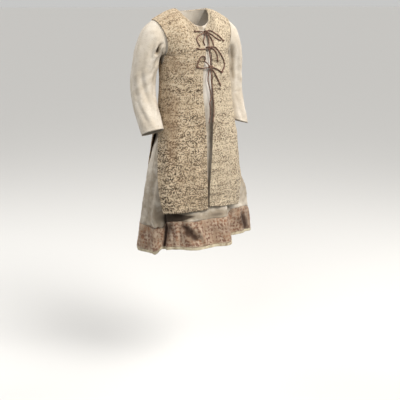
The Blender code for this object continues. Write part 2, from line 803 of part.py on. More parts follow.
def lace_object(lace, centres, cloths, material):
    """Leather strand: a round tube along its route, cut short of the knots."""
    reach = LACE_RADIUS + LACE_GAP
    route = [on_chest(x, z, reach) for x, z in lace.route]
    dense = [point for point in smooth_route(route) if not in_a_knot(point, centres)]
    points = even_points(dense, LACE_STEP)
    points = [rest_on_cloth(point, point.x, point.z, reach, cloths) for point in points]
    curve = bpy.data.curves.new(lace.name, "CURVE")
    curve.dimensions = "3D"
    spline = curve.splines.new("POLY")
    spline.points.add(len(points) - 1)
    for target, point in zip(spline.points, points):
        target.co = (*point, 1.0)
    curve.bevel_depth = LACE_RADIUS
    curve.bevel_resolution = 2
    curve.use_fill_caps = True
    curve.materials.append(material)
    return bpy.data.objects.new(lace.name, curve)


def knot_object(knot, centre, material):
    """Tied knot as a rounded lump."""
    mesh = bpy.data.meshes.new(knot.name)
    shape = bmesh.new()
    bmesh.ops.create_icosphere(shape, subdivisions=KNOT_LEVELS, radius=1.0)
    for vertex in shape.verts:
        vertex.co.x = centre.x + vertex.co.x * knot.half_x
        vertex.co.y = centre.y + vertex.co.y * knot.half_y
        vertex.co.z = centre.z + vertex.co.z * knot.half_z
    for face in shape.faces:
        face.smooth = True
    shape.to_mesh(mesh)
    shape.free()
    mesh.materials.append(material)
    return bpy.data.objects.new(knot.name, mesh)


def material_of(name, colour, roughness):
    """Plain cloth or leather finish."""
    material = bpy.data.materials.new(name)
    material.use_nodes = True
    shader = material.node_tree.nodes["Principled BSDF"]
    shader.inputs["Base Color"].default_value = (*colour, 1.0)
    shader.inputs["Roughness"].default_value = roughness
    return material


def clear_scene():
    """Removes every object of the startup scene."""
    for thing in list(bpy.data.objects):
        bpy.data.objects.remove(thing, do_unlink=True)


def main():
    """Builds every piece of the garment in one collection."""
    clear_scene()
    collection = bpy.data.collections.new("layered_dress")
    bpy.context.scene.collection.children.link(collection)
    linen = material_of("linen", (0.72, 0.64, 0.50), 0.9)
    rust = material_of("rust_band", (0.42, 0.20, 0.12), 0.9)
    pale = material_of("pale_binding", (0.75, 0.68, 0.54), 0.9)
    tweed = material_of("slub_tweed", (0.60, 0.50, 0.36), 0.95)
    leather = material_of("brown_leather", (0.20, 0.11, 0.07), 0.6)
    pieces = [
        dress_panel("dress_front", -1, FRONT_COLUMNS, linen),
        dress_panel("dress_back", 1, BACK_COLUMNS, linen),
        sleeve("sleeve_right", -1, SLEEVE_TOP + SLEEVE_RIGHT_END, linen),
        sleeve("sleeve_left", 1, SLEEVE_TOP + SLEEVE_LEFT_END, linen),
    ]
    for face, label, columns in ((-1, "front", FRONT_COLUMNS), (1, "back", BACK_COLUMNS)):
        top = BINDING_HEIGHT + BAND_HEIGHT
        pieces.append(
            hem_strip(
                f"hem_band_{label}", face, columns, BAND_ROWS, BINDING_HEIGHT, top, BAND_WALL, rust
            )
        )
        pieces.append(
            hem_strip(
                f"hem_binding_{label}", face, columns, 1, 0.0, BINDING_HEIGHT, BAND_WALL, pale
            )
        )
    pieces += [
        vest_front("vest_front_right", -1, VEST_HEM_RIGHT, tweed),
        vest_front("vest_front_left", 1, VEST_HEM_LEFT, tweed),
        vest_back("vest_back", tweed),
    ]
    for piece in pieces:
        collection.objects.link(piece)
    graph = bpy.context.evaluated_depsgraph_get()
    fronts = [piece for piece in pieces if piece.name.startswith("vest_front")]
    cloths = [BVHTree.FromObject(front, graph) for front in fronts]
    centres = [knot_centre(knot, cloths) for knot in KNOTS]
    ties = [knot_object(*pair, leather) for pair in zip(KNOTS, centres)]
    ties += [lace_object(lace, centres, cloths, leather) for lace in LACES]
    for tie in ties:
        collection.objects.link(tie)


main()
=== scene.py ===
"""A layered dress in its worn shape: a long-sleeved linen under-dress with a patterned hem band,
and over it an open-fronted tunic of slub tweed, tied at the chest with leather laces.

Metres, +Z up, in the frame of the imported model. The garment faces -Y and the wearer's left is
+X. Angles run round the body: 0 degrees is the front and +90 degrees the wearer's left side.
"""

import logging
import math
from dataclasses import dataclass, field
from enum import Enum
from functools import cached_property, partial
from typing import Callable, ClassVar, NamedTuple, Sequence

import bmesh
import bpy
import numpy as np
from mathutils import Matrix, Vector
from mathutils.bvhtree import BVHTree


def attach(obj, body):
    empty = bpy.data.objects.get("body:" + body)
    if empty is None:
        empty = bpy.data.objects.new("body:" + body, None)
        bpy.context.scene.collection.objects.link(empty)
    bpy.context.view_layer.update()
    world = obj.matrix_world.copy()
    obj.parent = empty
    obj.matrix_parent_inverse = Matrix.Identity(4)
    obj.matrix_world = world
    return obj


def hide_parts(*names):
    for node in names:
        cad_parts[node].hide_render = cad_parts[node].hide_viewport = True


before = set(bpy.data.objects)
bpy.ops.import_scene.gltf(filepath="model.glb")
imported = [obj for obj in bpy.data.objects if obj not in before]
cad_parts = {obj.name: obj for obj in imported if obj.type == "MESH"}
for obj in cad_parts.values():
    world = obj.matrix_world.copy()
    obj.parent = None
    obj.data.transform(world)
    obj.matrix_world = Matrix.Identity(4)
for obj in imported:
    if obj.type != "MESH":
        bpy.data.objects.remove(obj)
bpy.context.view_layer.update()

LOG = logging.getLogger("layered_dress")
Array = np.ndarray
Place = Callable[[Array, Array], Array]
Relief = Callable[[Array, Array, Array], Array]

BODY = "root"
FRONT, BACK = -1, 1
# Y of the upright line about which the garment hangs
BODY_AXIS_Y = 0.02
# Metres of cloth in one degree round the body, and round a sleeve
BODY_DEGREE = 0.0028
SLEEVE_DEGREE = 0.00083


class Slot(Enum):
    """Material slots of the part's record."""

    LINEN = "linen"
    BAND = "rust_band"
    BINDING = "pale_binding"
    TWEED = "slub_tweed"
    LEATHER = "brown_leather"


class Edge(Enum):
    """Edge of a piece of cloth, seen from outside with its top up."""

    TOP = "top"
    BOTTOM = "bottom"
    LEFT = "left"
    RIGHT = "right"


class Section(NamedTuple):
    """Level section of the dress."""

    z: float
    half_width: float
    front: float
    back: float


class Fold(NamedTuple):
    """Fold of the skirt: its angle, spread, rise, and how far it bows round at the band's top."""

    angle: float
    spread: float
    rise: float
    bow: float = 0.0


class HemRow(NamedTuple):
    """Height of the lowest edge at an angle."""

    angle: float
    z: float


class TunicRow(NamedTuple):
    """Level section of the over-tunic, with the X of its two front edges."""

    z: float
    shift: float
    half_width: float
    depth: float
    power: float
    open_right: float = 0.0
    open_left: float = 0.0


class SlitRow(NamedTuple):
    """Angles at which the over-tunic's panels end at the sides."""

    z: float
    right: float
    left: float
    back: float


class PanelHem(NamedTuple):
    """Lowest height of a panel at its inner and its outer edge."""

    inner: float
    outer: float


class SleeveRow(NamedTuple):
    """Ring of a sleeve: centre, half sizes, roll, bend of the arm and lean."""

    x: float
    y: float
    z: float
    out: float
    front: float
    roll: float
    bend: float
    lean: float


class Crease(NamedTuple):
    """Soft line on the cloth between two places (degrees round, height), wide and high as given."""

    start_turn: float
    start_z: float
    end_turn: float
    end_z: float
    width: float
    rise: float


class Blot(NamedTuple):
    """Soft patch of tone at a place (degrees round, height), with its reach and strength."""

    turn: float
    z: float
    reach_turn: float
    reach_z: float
    strength: float


class Knot(NamedTuple):
    """Tied knot on the front: its place and half sizes."""

    name: str
    x: float
    z: float
    half_x: float
    half_y: float
    half_z: float

    @property
    def halves(self) -> tuple[float, float, float]:
        """Half sizes along X, Y and Z."""
        return self.half_x, self.half_y, self.half_z


class Lace(NamedTuple):
    """Leather strand on the front: its far end, the knots on it and its route in millimetres."""

    name: str
    far_end: str
    knots: tuple[str, ...]
    x: tuple[float, ...]
    z: tuple[float, ...]


def table(kind: type, *rows: tuple) -> tuple:
    """Returns a table: one value of this kind for each row."""
    return tuple(kind(*row) for row in rows)


DRESS_SECTIONS = table(
    Section,
    (-0.14, 0.138, 0.103, 0.096), (-0.25, 0.137, 0.105, 0.088), (-0.37, 0.143, 0.103, 0.094),
    (-0.45, 0.16, 0.106, 0.108), (-0.52, 0.18, 0.115, 0.12), (-0.62, 0.202, 0.13, 0.136),
    (-0.72, 0.218, 0.15, 0.155), (-0.87, 0.235, 0.188, 0.188), (-0.94, 0.242, 0.2, 0.198),
)
DRESS_FOLDS = table(
    Fold,
    (-106, 10, 0.004), (-84, 8.5, -0.011), (-75, 7, 0.007, 3), (-65.5, 5.6, -0.038, 3),
    (-52, 9, -0.01), (-42, 7, -0.006), (-26, 9, 0.01), (-6, 7, -0.007), (8, 7, 0.01),
    (26, 9, -0.026), (42, 11, -0.058), (60, 6, -0.01), (83, 10, 0.038), (107, 8, -0.02),
    (125, 9, 0.014), (146, 9, -0.02), (166, 9, 0.014), (-175, 9, -0.018), (-154, 10, 0.015),
    (-130, 9, -0.02),
)
DRESS_HEM = table(
    HemRow,
    (-180, -0.882), (-135, -0.892), (-108, -0.902), (-85, -0.898), (-79, -0.8945), (-74.5, -0.8935),
    (-71.2, -0.8975), (-68.6, -0.878), (-66.4, -0.881), (-62, -0.879), (-50, -0.871), (0, -0.869),
    (20, -0.871), (40, -0.868), (60, -0.868), (84, -0.884), (130, -0.88), (180, -0.882),
)
# How far the band's upper seam sinks where the skirt folds back on the right
SEAM_SINKS = table(
    HemRow,
    (-180, 0), (-72, 0), (-69.5, 0.011), (-67.2, 0.021), (-65, 0.013), (-63.2, 0), (180, 0),
)
TUNIC_FRONT_ROWS = table(
    TunicRow,
    (-0.14, 0, 0.1435, 0.1062, 1, -0.018, 0.01), (-0.2, 0.001, 0.144, 0.1095, 0.9, -0.03, 0.011),
    (-0.28, 0.002, 0.148, 0.112, 0.8, -0.032, 0.012),
    (-0.37, 0.002, 0.158, 0.118, 0.72, -0.026, 0.01), (-0.45, 0, 0.174, 0.126, 0.66, -0.025, 0.003),
    (-0.513, -0.006, 0.184, 0.134, 0.62, -0.029, -0.005),
    (-0.58, -0.012, 0.193, 0.141, 0.58, -0.033, -0.015),
    (-0.644, -0.018, 0.198, 0.148, 0.56, -0.034, -0.025),
    (-0.735, -0.026, 0.203, 0.156, 0.56, -0.038, -0.032),
)
TUNIC_BACK_ROWS = table(
    TunicRow,
    (-0.14, 0, 0.1435, 0.0985, 1), (-0.2, 0.001, 0.144, 0.096, 1), (-0.28, 0.002, 0.148, 0.095, 1),
    (-0.37, 0.002, 0.158, 0.102, 1), (-0.45, 0, 0.174, 0.114, 0.98), (-0.58, 0, 0.186, 0.138, 0.9),
    (-0.735, 0, 0.2, 0.164, 0.84),
)
SLIT_EDGES = table(
    SlitRow,
    (-0.4, 90, 90, 90), (-0.43, 88.5, 89, 82), (-0.52, 82, 86, 64), (-0.644, 73.5, 79, 55),
    (-0.735, 61.5, 51, 52),
)
SLEEVE_TOP = table(
    SleeveRow,
    (0.1535, 0.011, -0.077, 0.0649, 0.046, 76, 0, 0.011),
    (0.172, 0.016, -0.089, 0.059, 0.05, 62, 0, 0.007),
    (0.182, 0.021, -0.107, 0.051, 0.052, 42, 0, 0.003),
    (0.1915, 0.026, -0.135, 0.048, 0.05, 24, 0, 0), (0.198, 0.03, -0.17, 0.047, 0.049, 12, 0, 0),
)
SLEEVE_RIGHT_END = table(
    SleeveRow,
    (0.204, 0.035, -0.215, 0.046, 0.048, 5, 4, 0), (0.208, 0.035, -0.262, 0.046, 0.0475, 1, 10, 0),
    (0.21, 0.022, -0.306, 0.045, 0.046, 0, 24, 0),
    (0.213, -0.005, -0.354, 0.0435, 0.0445, 0, 30, 0),
    (0.2165, -0.048, -0.42, 0.041, 0.0425, -5, 22, 0),
)
SLEEVE_LEFT_END = table(
    SleeveRow,
    (0.201, 0.033, -0.215, 0.045, 0.047, 5, 2, 0), (0.203, 0.032, -0.262, 0.0445, 0.046, 1, 5, 0),
    (0.205, 0.026, -0.308, 0.043, 0.0445, 0, 12, 0),
    (0.2095, 0.012, -0.36, 0.0415, 0.043, -4, 12, 0),
    (0.2145, -0.008, -0.416, 0.0395, 0.041, -18, 0, 0),
)
KNOTS = table(
    Knot,
    ("knot_top", 0.005, -0.06, 0.008, 0.0045, 0.006),
    ("knot_middle", 0.001, -0.1155, 0.0125, 0.005, 0.0058),
    ("knot_bottom", 0, -0.184, 0.008, 0.0055, 0.0068),
    ("knot_top_right_end", -0.044, -0.056, 0.0042, 0.0034, 0.0036),
    ("knot_middle_right_end", -0.048, -0.1165, 0.0045, 0.0034, 0.0036),
    ("knot_bottom_right_end", -0.053, -0.183, 0.0048, 0.0036, 0.004),
    ("knot_top_left_end", 0.078, -0.09, 0.004, 0.0032, 0.004),
    ("knot_bottom_left_end", 0.054, -0.2055, 0.0048, 0.0036, 0.0042),
)


def mix(start: Array | float, end: Array | float, share: Array | float) -> Array | float:
    """Returns the value that lies this share of the way from start to end."""
    return start + (end - start) * share


def eased(share: Array | float) -> Array:
    """Returns the share held within 0 and 1 and eased at both ends."""
    share = np.clip(share, 0.0, 1.0)
    return share * share * (3.0 - 2.0 * share)


def curve_at(keys: Array, values: Array, at: Array | float) -> Array:
    """Reads a smooth curve through values.

    Args:
        keys: Where the values lie, in rising order.
        values: Value at each key.
        at: Places to read at, held within the keys.

    Returns:
        The curve's value at each place.
    """
    last = len(keys) - 1
    at = np.clip(at, keys[0], keys[-1])
    i = np.clip(np.searchsorted(keys, at, side="right") - 1, 0, last - 1)
    before, after = np.maximum(i - 1, 0), np.minimum(i + 2, last)
    width = keys[i + 1] - keys[i]
    share = (at - keys[i]) / width
    slope_start = (values[i + 1] - values[before]) / (keys[i + 1] - keys[before]) * width
    slope_end = (values[after] - values[i]) / (keys[after] - keys[i]) * width
    square, cube = share**2, share**3
    return (
        (2 * cube - 3 * square + 1) * values[i]
        + (cube - 2 * square + share) * slope_start
        + (3 * square - 2 * cube) * values[i + 1]
        + (cube - square) * slope_end
    )


def read_rows(rows: Sequence[tuple], key: str, at: Array | float, column: str) -> Array:
    """Reads one column of a table by a smooth curve through its rows.

    Args:
        rows: Table rows, in rising or falling order of the key.
        key: Name of the column that orders the rows.
        at: Key values to read at, held within the table.
        column: Name of the column that is read.

    Returns:
        The column's value at each key value.
    """
    keys = np.array([getattr(row, key) for row in rows])
    values = np.array([getattr(row, column) for row in rows])
    if keys[0] > keys[-1]:
        keys, values = keys[::-1], values[::-1]
    return curve_at(keys, values, at)


def stacked(x: Array, y: Array, z: Array) -> Array:
    """Returns points made of three coordinate arrays."""
    return np.stack(np.broadcast_arrays(x, y, z), axis=-1).astype(float)


@dataclass(frozen=True)
class DressForm:
    """Inside surface of the under-dress."""

    neck_half_width: float = 0.068
    neck_top_z: float = 0.0265
    ridge_y: float = 0.022
    front_neck_depth: float = 0.070
    front_neck_drop: float = 0.062
    back_neck_depth: float = 0.060
    back_neck_drop: float = 0.008
    shoulder_tip_x: float = 0.169
    shoulder_tip_z: float = -0.014
    armpit_z: float = -0.140
    armhole_front: float = 0.044
    armhole_back: float = 0.032
    armhole_bow: float = 0.002
    inset_front: float = 0.23
    inset_back: float = 0.30
    neck_share: float = 0.42
    edge_power: float = 4.0
    neck_curve: float = 1.3
    shoulder_curve: float = 1.5
    front_fullness: float = 0.30
    back_fullness: float = 0.75
    side_fullness: float = 0.92
    full_from: float = 0.6
    fold_start_z: float = -0.48
    fold_full_z: float = -0.86
    fold_bow_z: float = -0.80
    fold_bow_reach: float = 0.055
    wall: float = 0.0015
    half_panel: float = 0.2
    upper_length: float = 0.15
    binding_height: float = 0.010
    band_height: float = 0.096
    seam_trim: float = 0.00004

    def fold_rise(self, angle: Array, z: Array) -> Array:
        """Returns how far the skirt's folds stand out from its plain section.

        Args:
            angle: Degrees round the body.
            z: Heights.

        Returns:
            Metres outwards.
        """
        growth = eased((self.fold_start_z - z) / (self.fold_start_z - self.fold_full_z))
        bow = np.exp(-(((z - self.fold_bow_z) / self.fold_bow_reach) ** 2))
        total = np.zeros(np.broadcast(angle, z).shape)
        for fold in DRESS_FOLDS:
            away = (angle - fold.angle - fold.bow * bow + 180.0) % 360.0 - 180.0
            total = total + fold.rise * np.exp(-((away / fold.spread) ** 2))
        return growth * total

    def below_armpits(self, angle: Array, z: Array) -> Array:
        """Returns points of the body and skirt at these angles and heights.

        Args:
            angle: Degrees round the body.
            z: Heights.

        Returns:
            The points.
        """
        turn = np.radians(angle)
        ahead = np.cos(turn) >= 0.0
        front = read_rows(DRESS_SECTIONS, "z", z, "front")
        back = read_rows(DRESS_SECTIONS, "z", z, "back")
        x = read_rows(DRESS_SECTIONS, "z", z, "half_width") * np.sin(turn)
        y = -np.where(ahead, front, back) * np.cos(turn)
        stretch = 1.0 + self.fold_rise(angle, z) / np.hypot(x, y)
        return stacked(x * stretch, y * stretch, z)

    def armhole(self, sunk: Array, side: Array, face: Array) -> Array:
        """Works out an armhole seam.

        Args:
            sunk: 0 at the shoulder to 1 at the armpit.
            side: -1 on the right, 1 on the left.
            face: Front or back.

        Returns:
            Points of the seam.
        """
        bulge = 2.0 * np.sqrt(np.maximum(sunk * (1.0 - sunk), 0.0))
        x = mix(self.shoulder_tip_x, DRESS_SECTIONS[0].half_width, sunk) - self.armhole_bow * bulge
        reach = np.where(np.asarray(face) < 0, -self.armhole_front, self.armhole_back)
        y = self.ridge_y * (1.0 - sunk) + bulge * reach
        return stacked(side * x, y, mix(self.shoulder_tip_z, self.armpit_z, sunk))

    def top_edge(self, across: Array, face: int) -> Array:
        """Returns points of the neckline and the shoulder seams.

        Args:
            across: Shares across, -1 to 1.
            face: Front or back.

        Returns:
            The points.
        """
        side, share = np.copysign(1.0, across), np.abs(across)
        turn = np.minimum(share / self.neck_share, 1.0) * math.pi / 2.0
        depth = self.front_neck_depth if face < 0 else self.back_neck_depth
        drop = self.front_neck_drop if face < 0 else self.back_neck_drop
        fall = np.maximum(np.cos(turn), 0.0)
        along = np.maximum((share - self.neck_share) / (1.0 - self.neck_share), 0.0)
        in_neck = share <= self.neck_share
        neck_x = self.neck_half_width * np.sin(turn)
        x = np.where(in_neck, neck_x, mix(self.neck_half_width, self.shoulder_tip_x, along))
        y = self.ridge_y + np.where(in_neck, face * depth * fall, 0.0)
        neck_z = self.neck_top_z - drop * fall**self.neck_curve
        slope_z = mix(self.neck_top_z, self.shoulder_tip_z, along**self.shoulder_curve)
        return stacked(side * x, y, np.where(in_neck, neck_z, slope_z))

    def above_armpits(self, across: Array, down: Array, face: int) -> Array:
        """Works out the chest or the upper back.

        Args:
            across: Shares across, -1 to 1.
            down: Shares down from the top edge, 0 to 1.
            face: Front or back.

        Returns:
            The points.
        """
        middle = self.front_fullness if face < 0 else self.back_fullness
        fullness = mix(middle, self.side_fullness, eased(np.abs(across) / self.full_from))
        quarter = down * math.pi / 2.0
        sunk = mix(down, 1.0 - np.cos(quarter), fullness)
        moved = mix(down, np.sin(quarter), fullness)
        top = self.top_edge(across, face)
        bulge = 2.0 * np.sqrt(np.maximum(sunk * (1.0 - sunk), 0.0))
        inset = 1.0 - bulge * (self.inset_front if face < 0 else self.inset_back)
        angle = 90.0 * across * inset
        base = self.below_armpits(angle if face < 0 else 180.0 - angle, self.armpit_z)
        shares = stacked(moved, moved, sunk)
        torso = top + (base - top) * shares
        edge = self.armhole(sunk, np.copysign(1.0, across), face)
        return torso + (edge - torso) * (np.abs(across) ** self.edge_power)[..., None]

    def hem_z(self, angle: Array) -> Array:
        """Returns the height of the lowest edge at these angles."""
        return read_rows(DRESS_HEM, "angle", (angle + 180.0) % 360.0 - 180.0, "z")

    def seam_sink(self, angle: Array) -> Array:
        """Returns how far the band's upper seam hangs below its usual height."""
        return read_rows(SEAM_SINKS, "angle", (angle + 180.0) % 360.0 - 180.0, "z")


@dataclass(frozen=True)
class TunicForm:
    """Inside surface of the over-tunic, kept clear of the dress under it."""

    dress: DressForm = DressForm()
    wall: float = 0.0025
    clearance: float = 0.0017
    armpit_clearance: float = 0.0035
    armhole_drop: float = 0.035
    arm_edge_top: float = 0.955
    arm_edge_low: float = 0.89
    arm_edge_low_back: float = 0.86
    arm_edge_side: float = 0.99875
    top_share: float = 0.014
    v_share: float = 0.17
    v_reach: float = 0.22
    step: float = 0.002
    slope_reach: tuple[float, ...] = (-4.0, 0.0, 4.0)
    search_steps: int = 24
    search_width: float = 0.16
    search_length: float = 0.14
    chest_x: ClassVar[Array] = np.linspace(-0.12, 0.12, 121)
    chest_z: ClassVar[Array] = np.linspace(-0.43, -0.03, 201)

    def below_armpits(self, angle: Array, z: Array) -> Array:
        """Returns points of the panels at these angles and heights.

        Args:
            angle: Degrees round the body.
            z: Heights.

        Returns:
            The points.
        """
        turn = np.radians(angle)
        ahead = np.cos(turn) >= 0.0
        front, back = (
            {name: read_rows(rows, "z", z, name) for name in TunicRow._fields[1:5]}
            for rows in (TUNIC_FRONT_ROWS, TUNIC_BACK_ROWS)
        )
        row = {name: np.where(ahead, front[name], back[name]) for name in front}
        x = row["shift"] + row["half_width"] * np.sin(turn)
        cosine = np.cos(turn)
        y = -row["depth"] * np.copysign(np.abs(cosine) ** row["power"], cosine)
        half_width = read_rows(DRESS_SECTIONS, "z", z, "half_width")
        depth = np.where(
            y < 0.0,
            read_rows(DRESS_SECTIONS, "z", z, "front"),
            read_rows(DRESS_SECTIONS, "z", z, "back"),
        )
        under = np.degrees(np.arctan2(x / half_width, -y / depth))
        reaches = [
            np.hypot(*np.moveaxis(self.dress.below_armpits(under + turned, z), -1, 0)[:2])
            for turned in self.slope_reach
        ]
        least = np.max(reaches, axis=0) + self.dress.wall + self.clearance
        stretch = np.maximum(1.0, least / np.hypot(x, y))
        return stacked(x * stretch, y * stretch, z)

    def above_armpits(self, across: Array, down: Array, face: int) -> Array:
        """Returns points of the upper tunic: the dress moved outwards.

        Args:
            across: Shares across, -1 to 1.
            down: Shares down, 0 to 1.
            face: Front or back.

        Returns:
            The points.
        """
        across = np.clip(across, -1.0, 1.0)
        here = self.dress.above_armpits(across, down, face)
        east = self.dress.above_armpits(across + self.step, down, face)
        west = self.dress.above_armpits(across - self.step, down, face)
        below = self.dress.above_armpits(across, down + self.step, face)
        above = self.dress.above_armpits(across, np.maximum(down - self.step, 0.0), face)
        normal = np.cross(east - west, below - above)
        normal /= np.linalg.norm(normal, axis=-1, keepdims=True)
        lift = self.dress.wall + self.clearance + self.armpit_clearance * down * across**4
        return here + normal * (face * lift)[..., None]

    def arm_edge(self, z: Array, low: float) -> Array:
        """Returns the share of the half width at which the armhole edge lies."""
        fallen = np.clip((self.dress.armpit_z - z) / self.armhole_drop, 0.0, 1.0)
        return mix(low, self.arm_edge_side, fallen**2)

    @cached_property
    def chest(self) -> Array:
        """Works out the front's inside, also across its opening.

        Returns:
            Its Y over chest_x and chest_z.
        """
        x, z = np.meshgrid(self.chest_x, self.chest_z, indexing="ij")
        low = np.minimum(z, self.dress.armpit_z)
        reach = x - read_rows(TUNIC_FRONT_ROWS, "z", low, "shift")
        turn = np.arcsin(reach / read_rows(TUNIC_FRONT_ROWS, "z", low, "half_width"))
        panel = self.below_armpits(np.degrees(turn), low)[..., 1]
        across, down = np.zeros_like(x), np.full_like(x, 0.5)
        for _ in range(self.search_steps):
            found = self.above_armpits(across, down, FRONT)
            across = np.clip(across + (x - found[..., 0]) / self.search_width, -0.95, 0.95)
            down = np.clip(down + (found[..., 2] - z) / self.search_length, 0.01, 1.0)
        upper = self.above_armpits(across, down, FRONT)[..., 1]
        return np.where(z <= self.dress.armpit_z, panel, upper)

    def chest_depth(self, x: float, z: float) -> float:
        """Reads the front's inside, also across its opening.

        Args:
            x: Place across.
            z: Height.

        Returns:
            Its Y.
        """
        column = np.interp(x, self.chest_x, np.arange(len(self.chest_x)))
        row = np.interp(z, self.chest_z, np.arange(len(self.chest_z)))
        i = min(int(column), len(self.chest_x) - 2)
        j = min(int(row), len(self.chest_z) - 2)
        u, v = column - i, row - j
        near, far = self.chest[i], self.chest[i + 1]
        left, right = near[j] * (1.0 - v) + near[j + 1] * v, far[j] * (1.0 - v) + far[j + 1] * v
        return float(left * (1.0 - u) + right * u)

    def chest_normal(self, x: float, z: float) -> Vector:
        """Returns the outward direction of the front at this X and Z.

        Args:
            x: Place across.
            z: Height.

        Returns:
            The direction, of length 1.
        """
        step = self.step
        slope_x = self.chest_depth(x + step, z) - self.chest_depth(x - step, z)
        slope_z = self.chest_depth(x, z + step) - self.chest_depth(x, z - step)
        return Vector((slope_x, -2.0 * step, slope_z)).normalized()

    def on_chest(self, x: float, z: float, lift: float) -> Vector:
        """Returns the point this far in front of the front's outer face."""
        point = Vector((x, self.chest_depth(x, z), z))
        return point + self.chest_normal(x, z) * (self.wall + lift)


def bearing(points: Array, face: int) -> Array:
    """Returns the angle of points round the body, from the middle of this face."""
    return np.degrees(np.arctan2(points[..., 0], face * points[..., 1]))


def crease_relief(turn: Array, z: Array, creases: Sequence[Crease], degree: float) -> Array:
    """Works out the height of soft ridges and troughs on cloth.

    Args:
        turn: Degrees round of each point.
        z: Height of each point.
        creases: The lines to lay on the cloth.
        degree: Metres of cloth in one degree.

    Returns:
        Height of each point off the plain cloth, in metres.
    """
    total = np.zeros(np.shape(z))
    for crease in creases:
        round_by = ((turn - crease.start_turn + 180.0) % 360.0 - 180.0) * degree
        fall_by = z - crease.start_z
        run = (crease.end_turn - crease.start_turn) * degree
        fall = crease.end_z - crease.start_z
        along = np.clip((round_by * run + fall_by * fall) / (run * run + fall * fall), 0.0, 1.0)
        away = np.hypot(round_by - along * run, fall_by - along * fall) / crease.width
        fade = 1.0 - 0.5 * (2.0 * along - 1.0) ** 2
        total += crease.rise * fade * (np.exp(-(away**2)) - 0.3 * np.exp(-((away - 1.8) ** 2)))
    return total


def blot_tone(turn: Array, z: Array, blots: Sequence[Blot]) -> Array:
    """Adds up patches of tone.

    Args:
        turn: Degrees round of each point.
        z: Height of each point.
        blots: The patches.

    Returns:
        Strength at each point, within -1 and 1.
    """
    total = np.zeros(np.shape(z))
    for blot in blots:
        away = ((turn - blot.turn) / blot.reach_turn) ** 2 + ((z - blot.z) / blot.reach_z) ** 2
        total += blot.strength * np.exp(-away)
    return np.clip(total, -1.0, 1.0)


def patches(face: int, blots: Sequence[Blot], points: Array, u: Array, v: Array) -> Array:
    """Returns the tone of one face at each point, from its patches."""
    return blot_tone(bearing(points, face), points[..., 2], blots)


def off_sides(u: Array, reach: float) -> Array:
    """Returns 0 at the side edges of a piece, eased to 1 at this reach from them."""
    return eased((np.abs(u).max(axis=1, keepdims=True) - np.abs(u)) / reach)


@dataclass(frozen=True)
class Ripple:
    """Fine unevenness of cloth: waves of about one length, mostly running one way."""

    length: float
    height: float
    seed: int
    heading: float = 0.0
    spread: float = 0.5
    waves: int = 16

    def at(self, u: Array, v: Array) -> Array:
        """Works out the waves.

        Args:
            u: Metres across.
            v: Metres down.

        Returns:
            Height at each place, in metres.
        """
        draw = np.random.default_rng(self.seed)
        total, patch = np.zeros(np.shape(u)), np.zeros(np.shape(u))
        for _ in range(self.waves):
            heading = math.radians(self.heading) + draw.normal(0.0, self.spread)
            rate = math.tau / (self.length * draw.uniform(0.6, 1.7))
            phase, slow_phase = draw.uniform(0.0, math.tau, 2)
            along = u * math.cos(heading) + v * math.sin(heading)
            total += np.sin(rate * along + phase)
            slow = u * math.sin(heading) + v * math.cos(heading)
            patch += np.sin(0.35 * rate * slow + slow_phase)
        scale = 1.0 / math.sqrt(self.waves / 2.0)
        return self.height * total * scale * eased(0.55 + 0.45 * patch * scale)


def add_object(name: str, data: bpy.types.ID) -> bpy.types.Object:
    """Puts an object with this data into the scene.

    Args:
        name: Name of the object.
        data: Its mesh, curve, light or camera.

    Returns:
        The object.
    """
    piece = bpy.data.objects.new(name, data)
    bpy.context.scene.collection.objects.link(piece)
    return piece


def mesh_object(
    name: str, shape: bmesh.types.BMesh, material: bpy.types.Material
) -> bpy.types.Object:
    """Turns a finished shape into an object of one material, and frees the shape.

    Args:
        name: Name of the object.
        shape: Finished shape.
        material: Its material.

    Returns:
        The object.
    """
    mesh = bpy.data.meshes.new(name)
    shape.to_mesh(mesh)
    shape.free()
    mesh.materials.append(material)
    return add_object(name, mesh)


def tube(
    name: str, points: Sequence[Vector], radius: float, material: bpy.types.Material
) -> bpy.types.Object:
    """Makes a round strand along a line of points.

    Args:
        name: Name of the strand.
        points: Points of the line.
        radius: Half the strand's width.
        material: Its material.

    Returns:
        The strand.
    """
    curve = bpy.data.curves.new(name, "CURVE")
    curve.dimensions = "3D"
    curve.bevel_depth = radius
    curve.bevel_resolution = 3
    curve.materials.append(material)
    spline = curve.splines.new("POLY")
    spline.points.add(len(points) - 1)
    spline.use_smooth = True
    for target, point in zip(spline.points, points):
        target.co = (*point, 1.0)
    return add_object(name, curve)


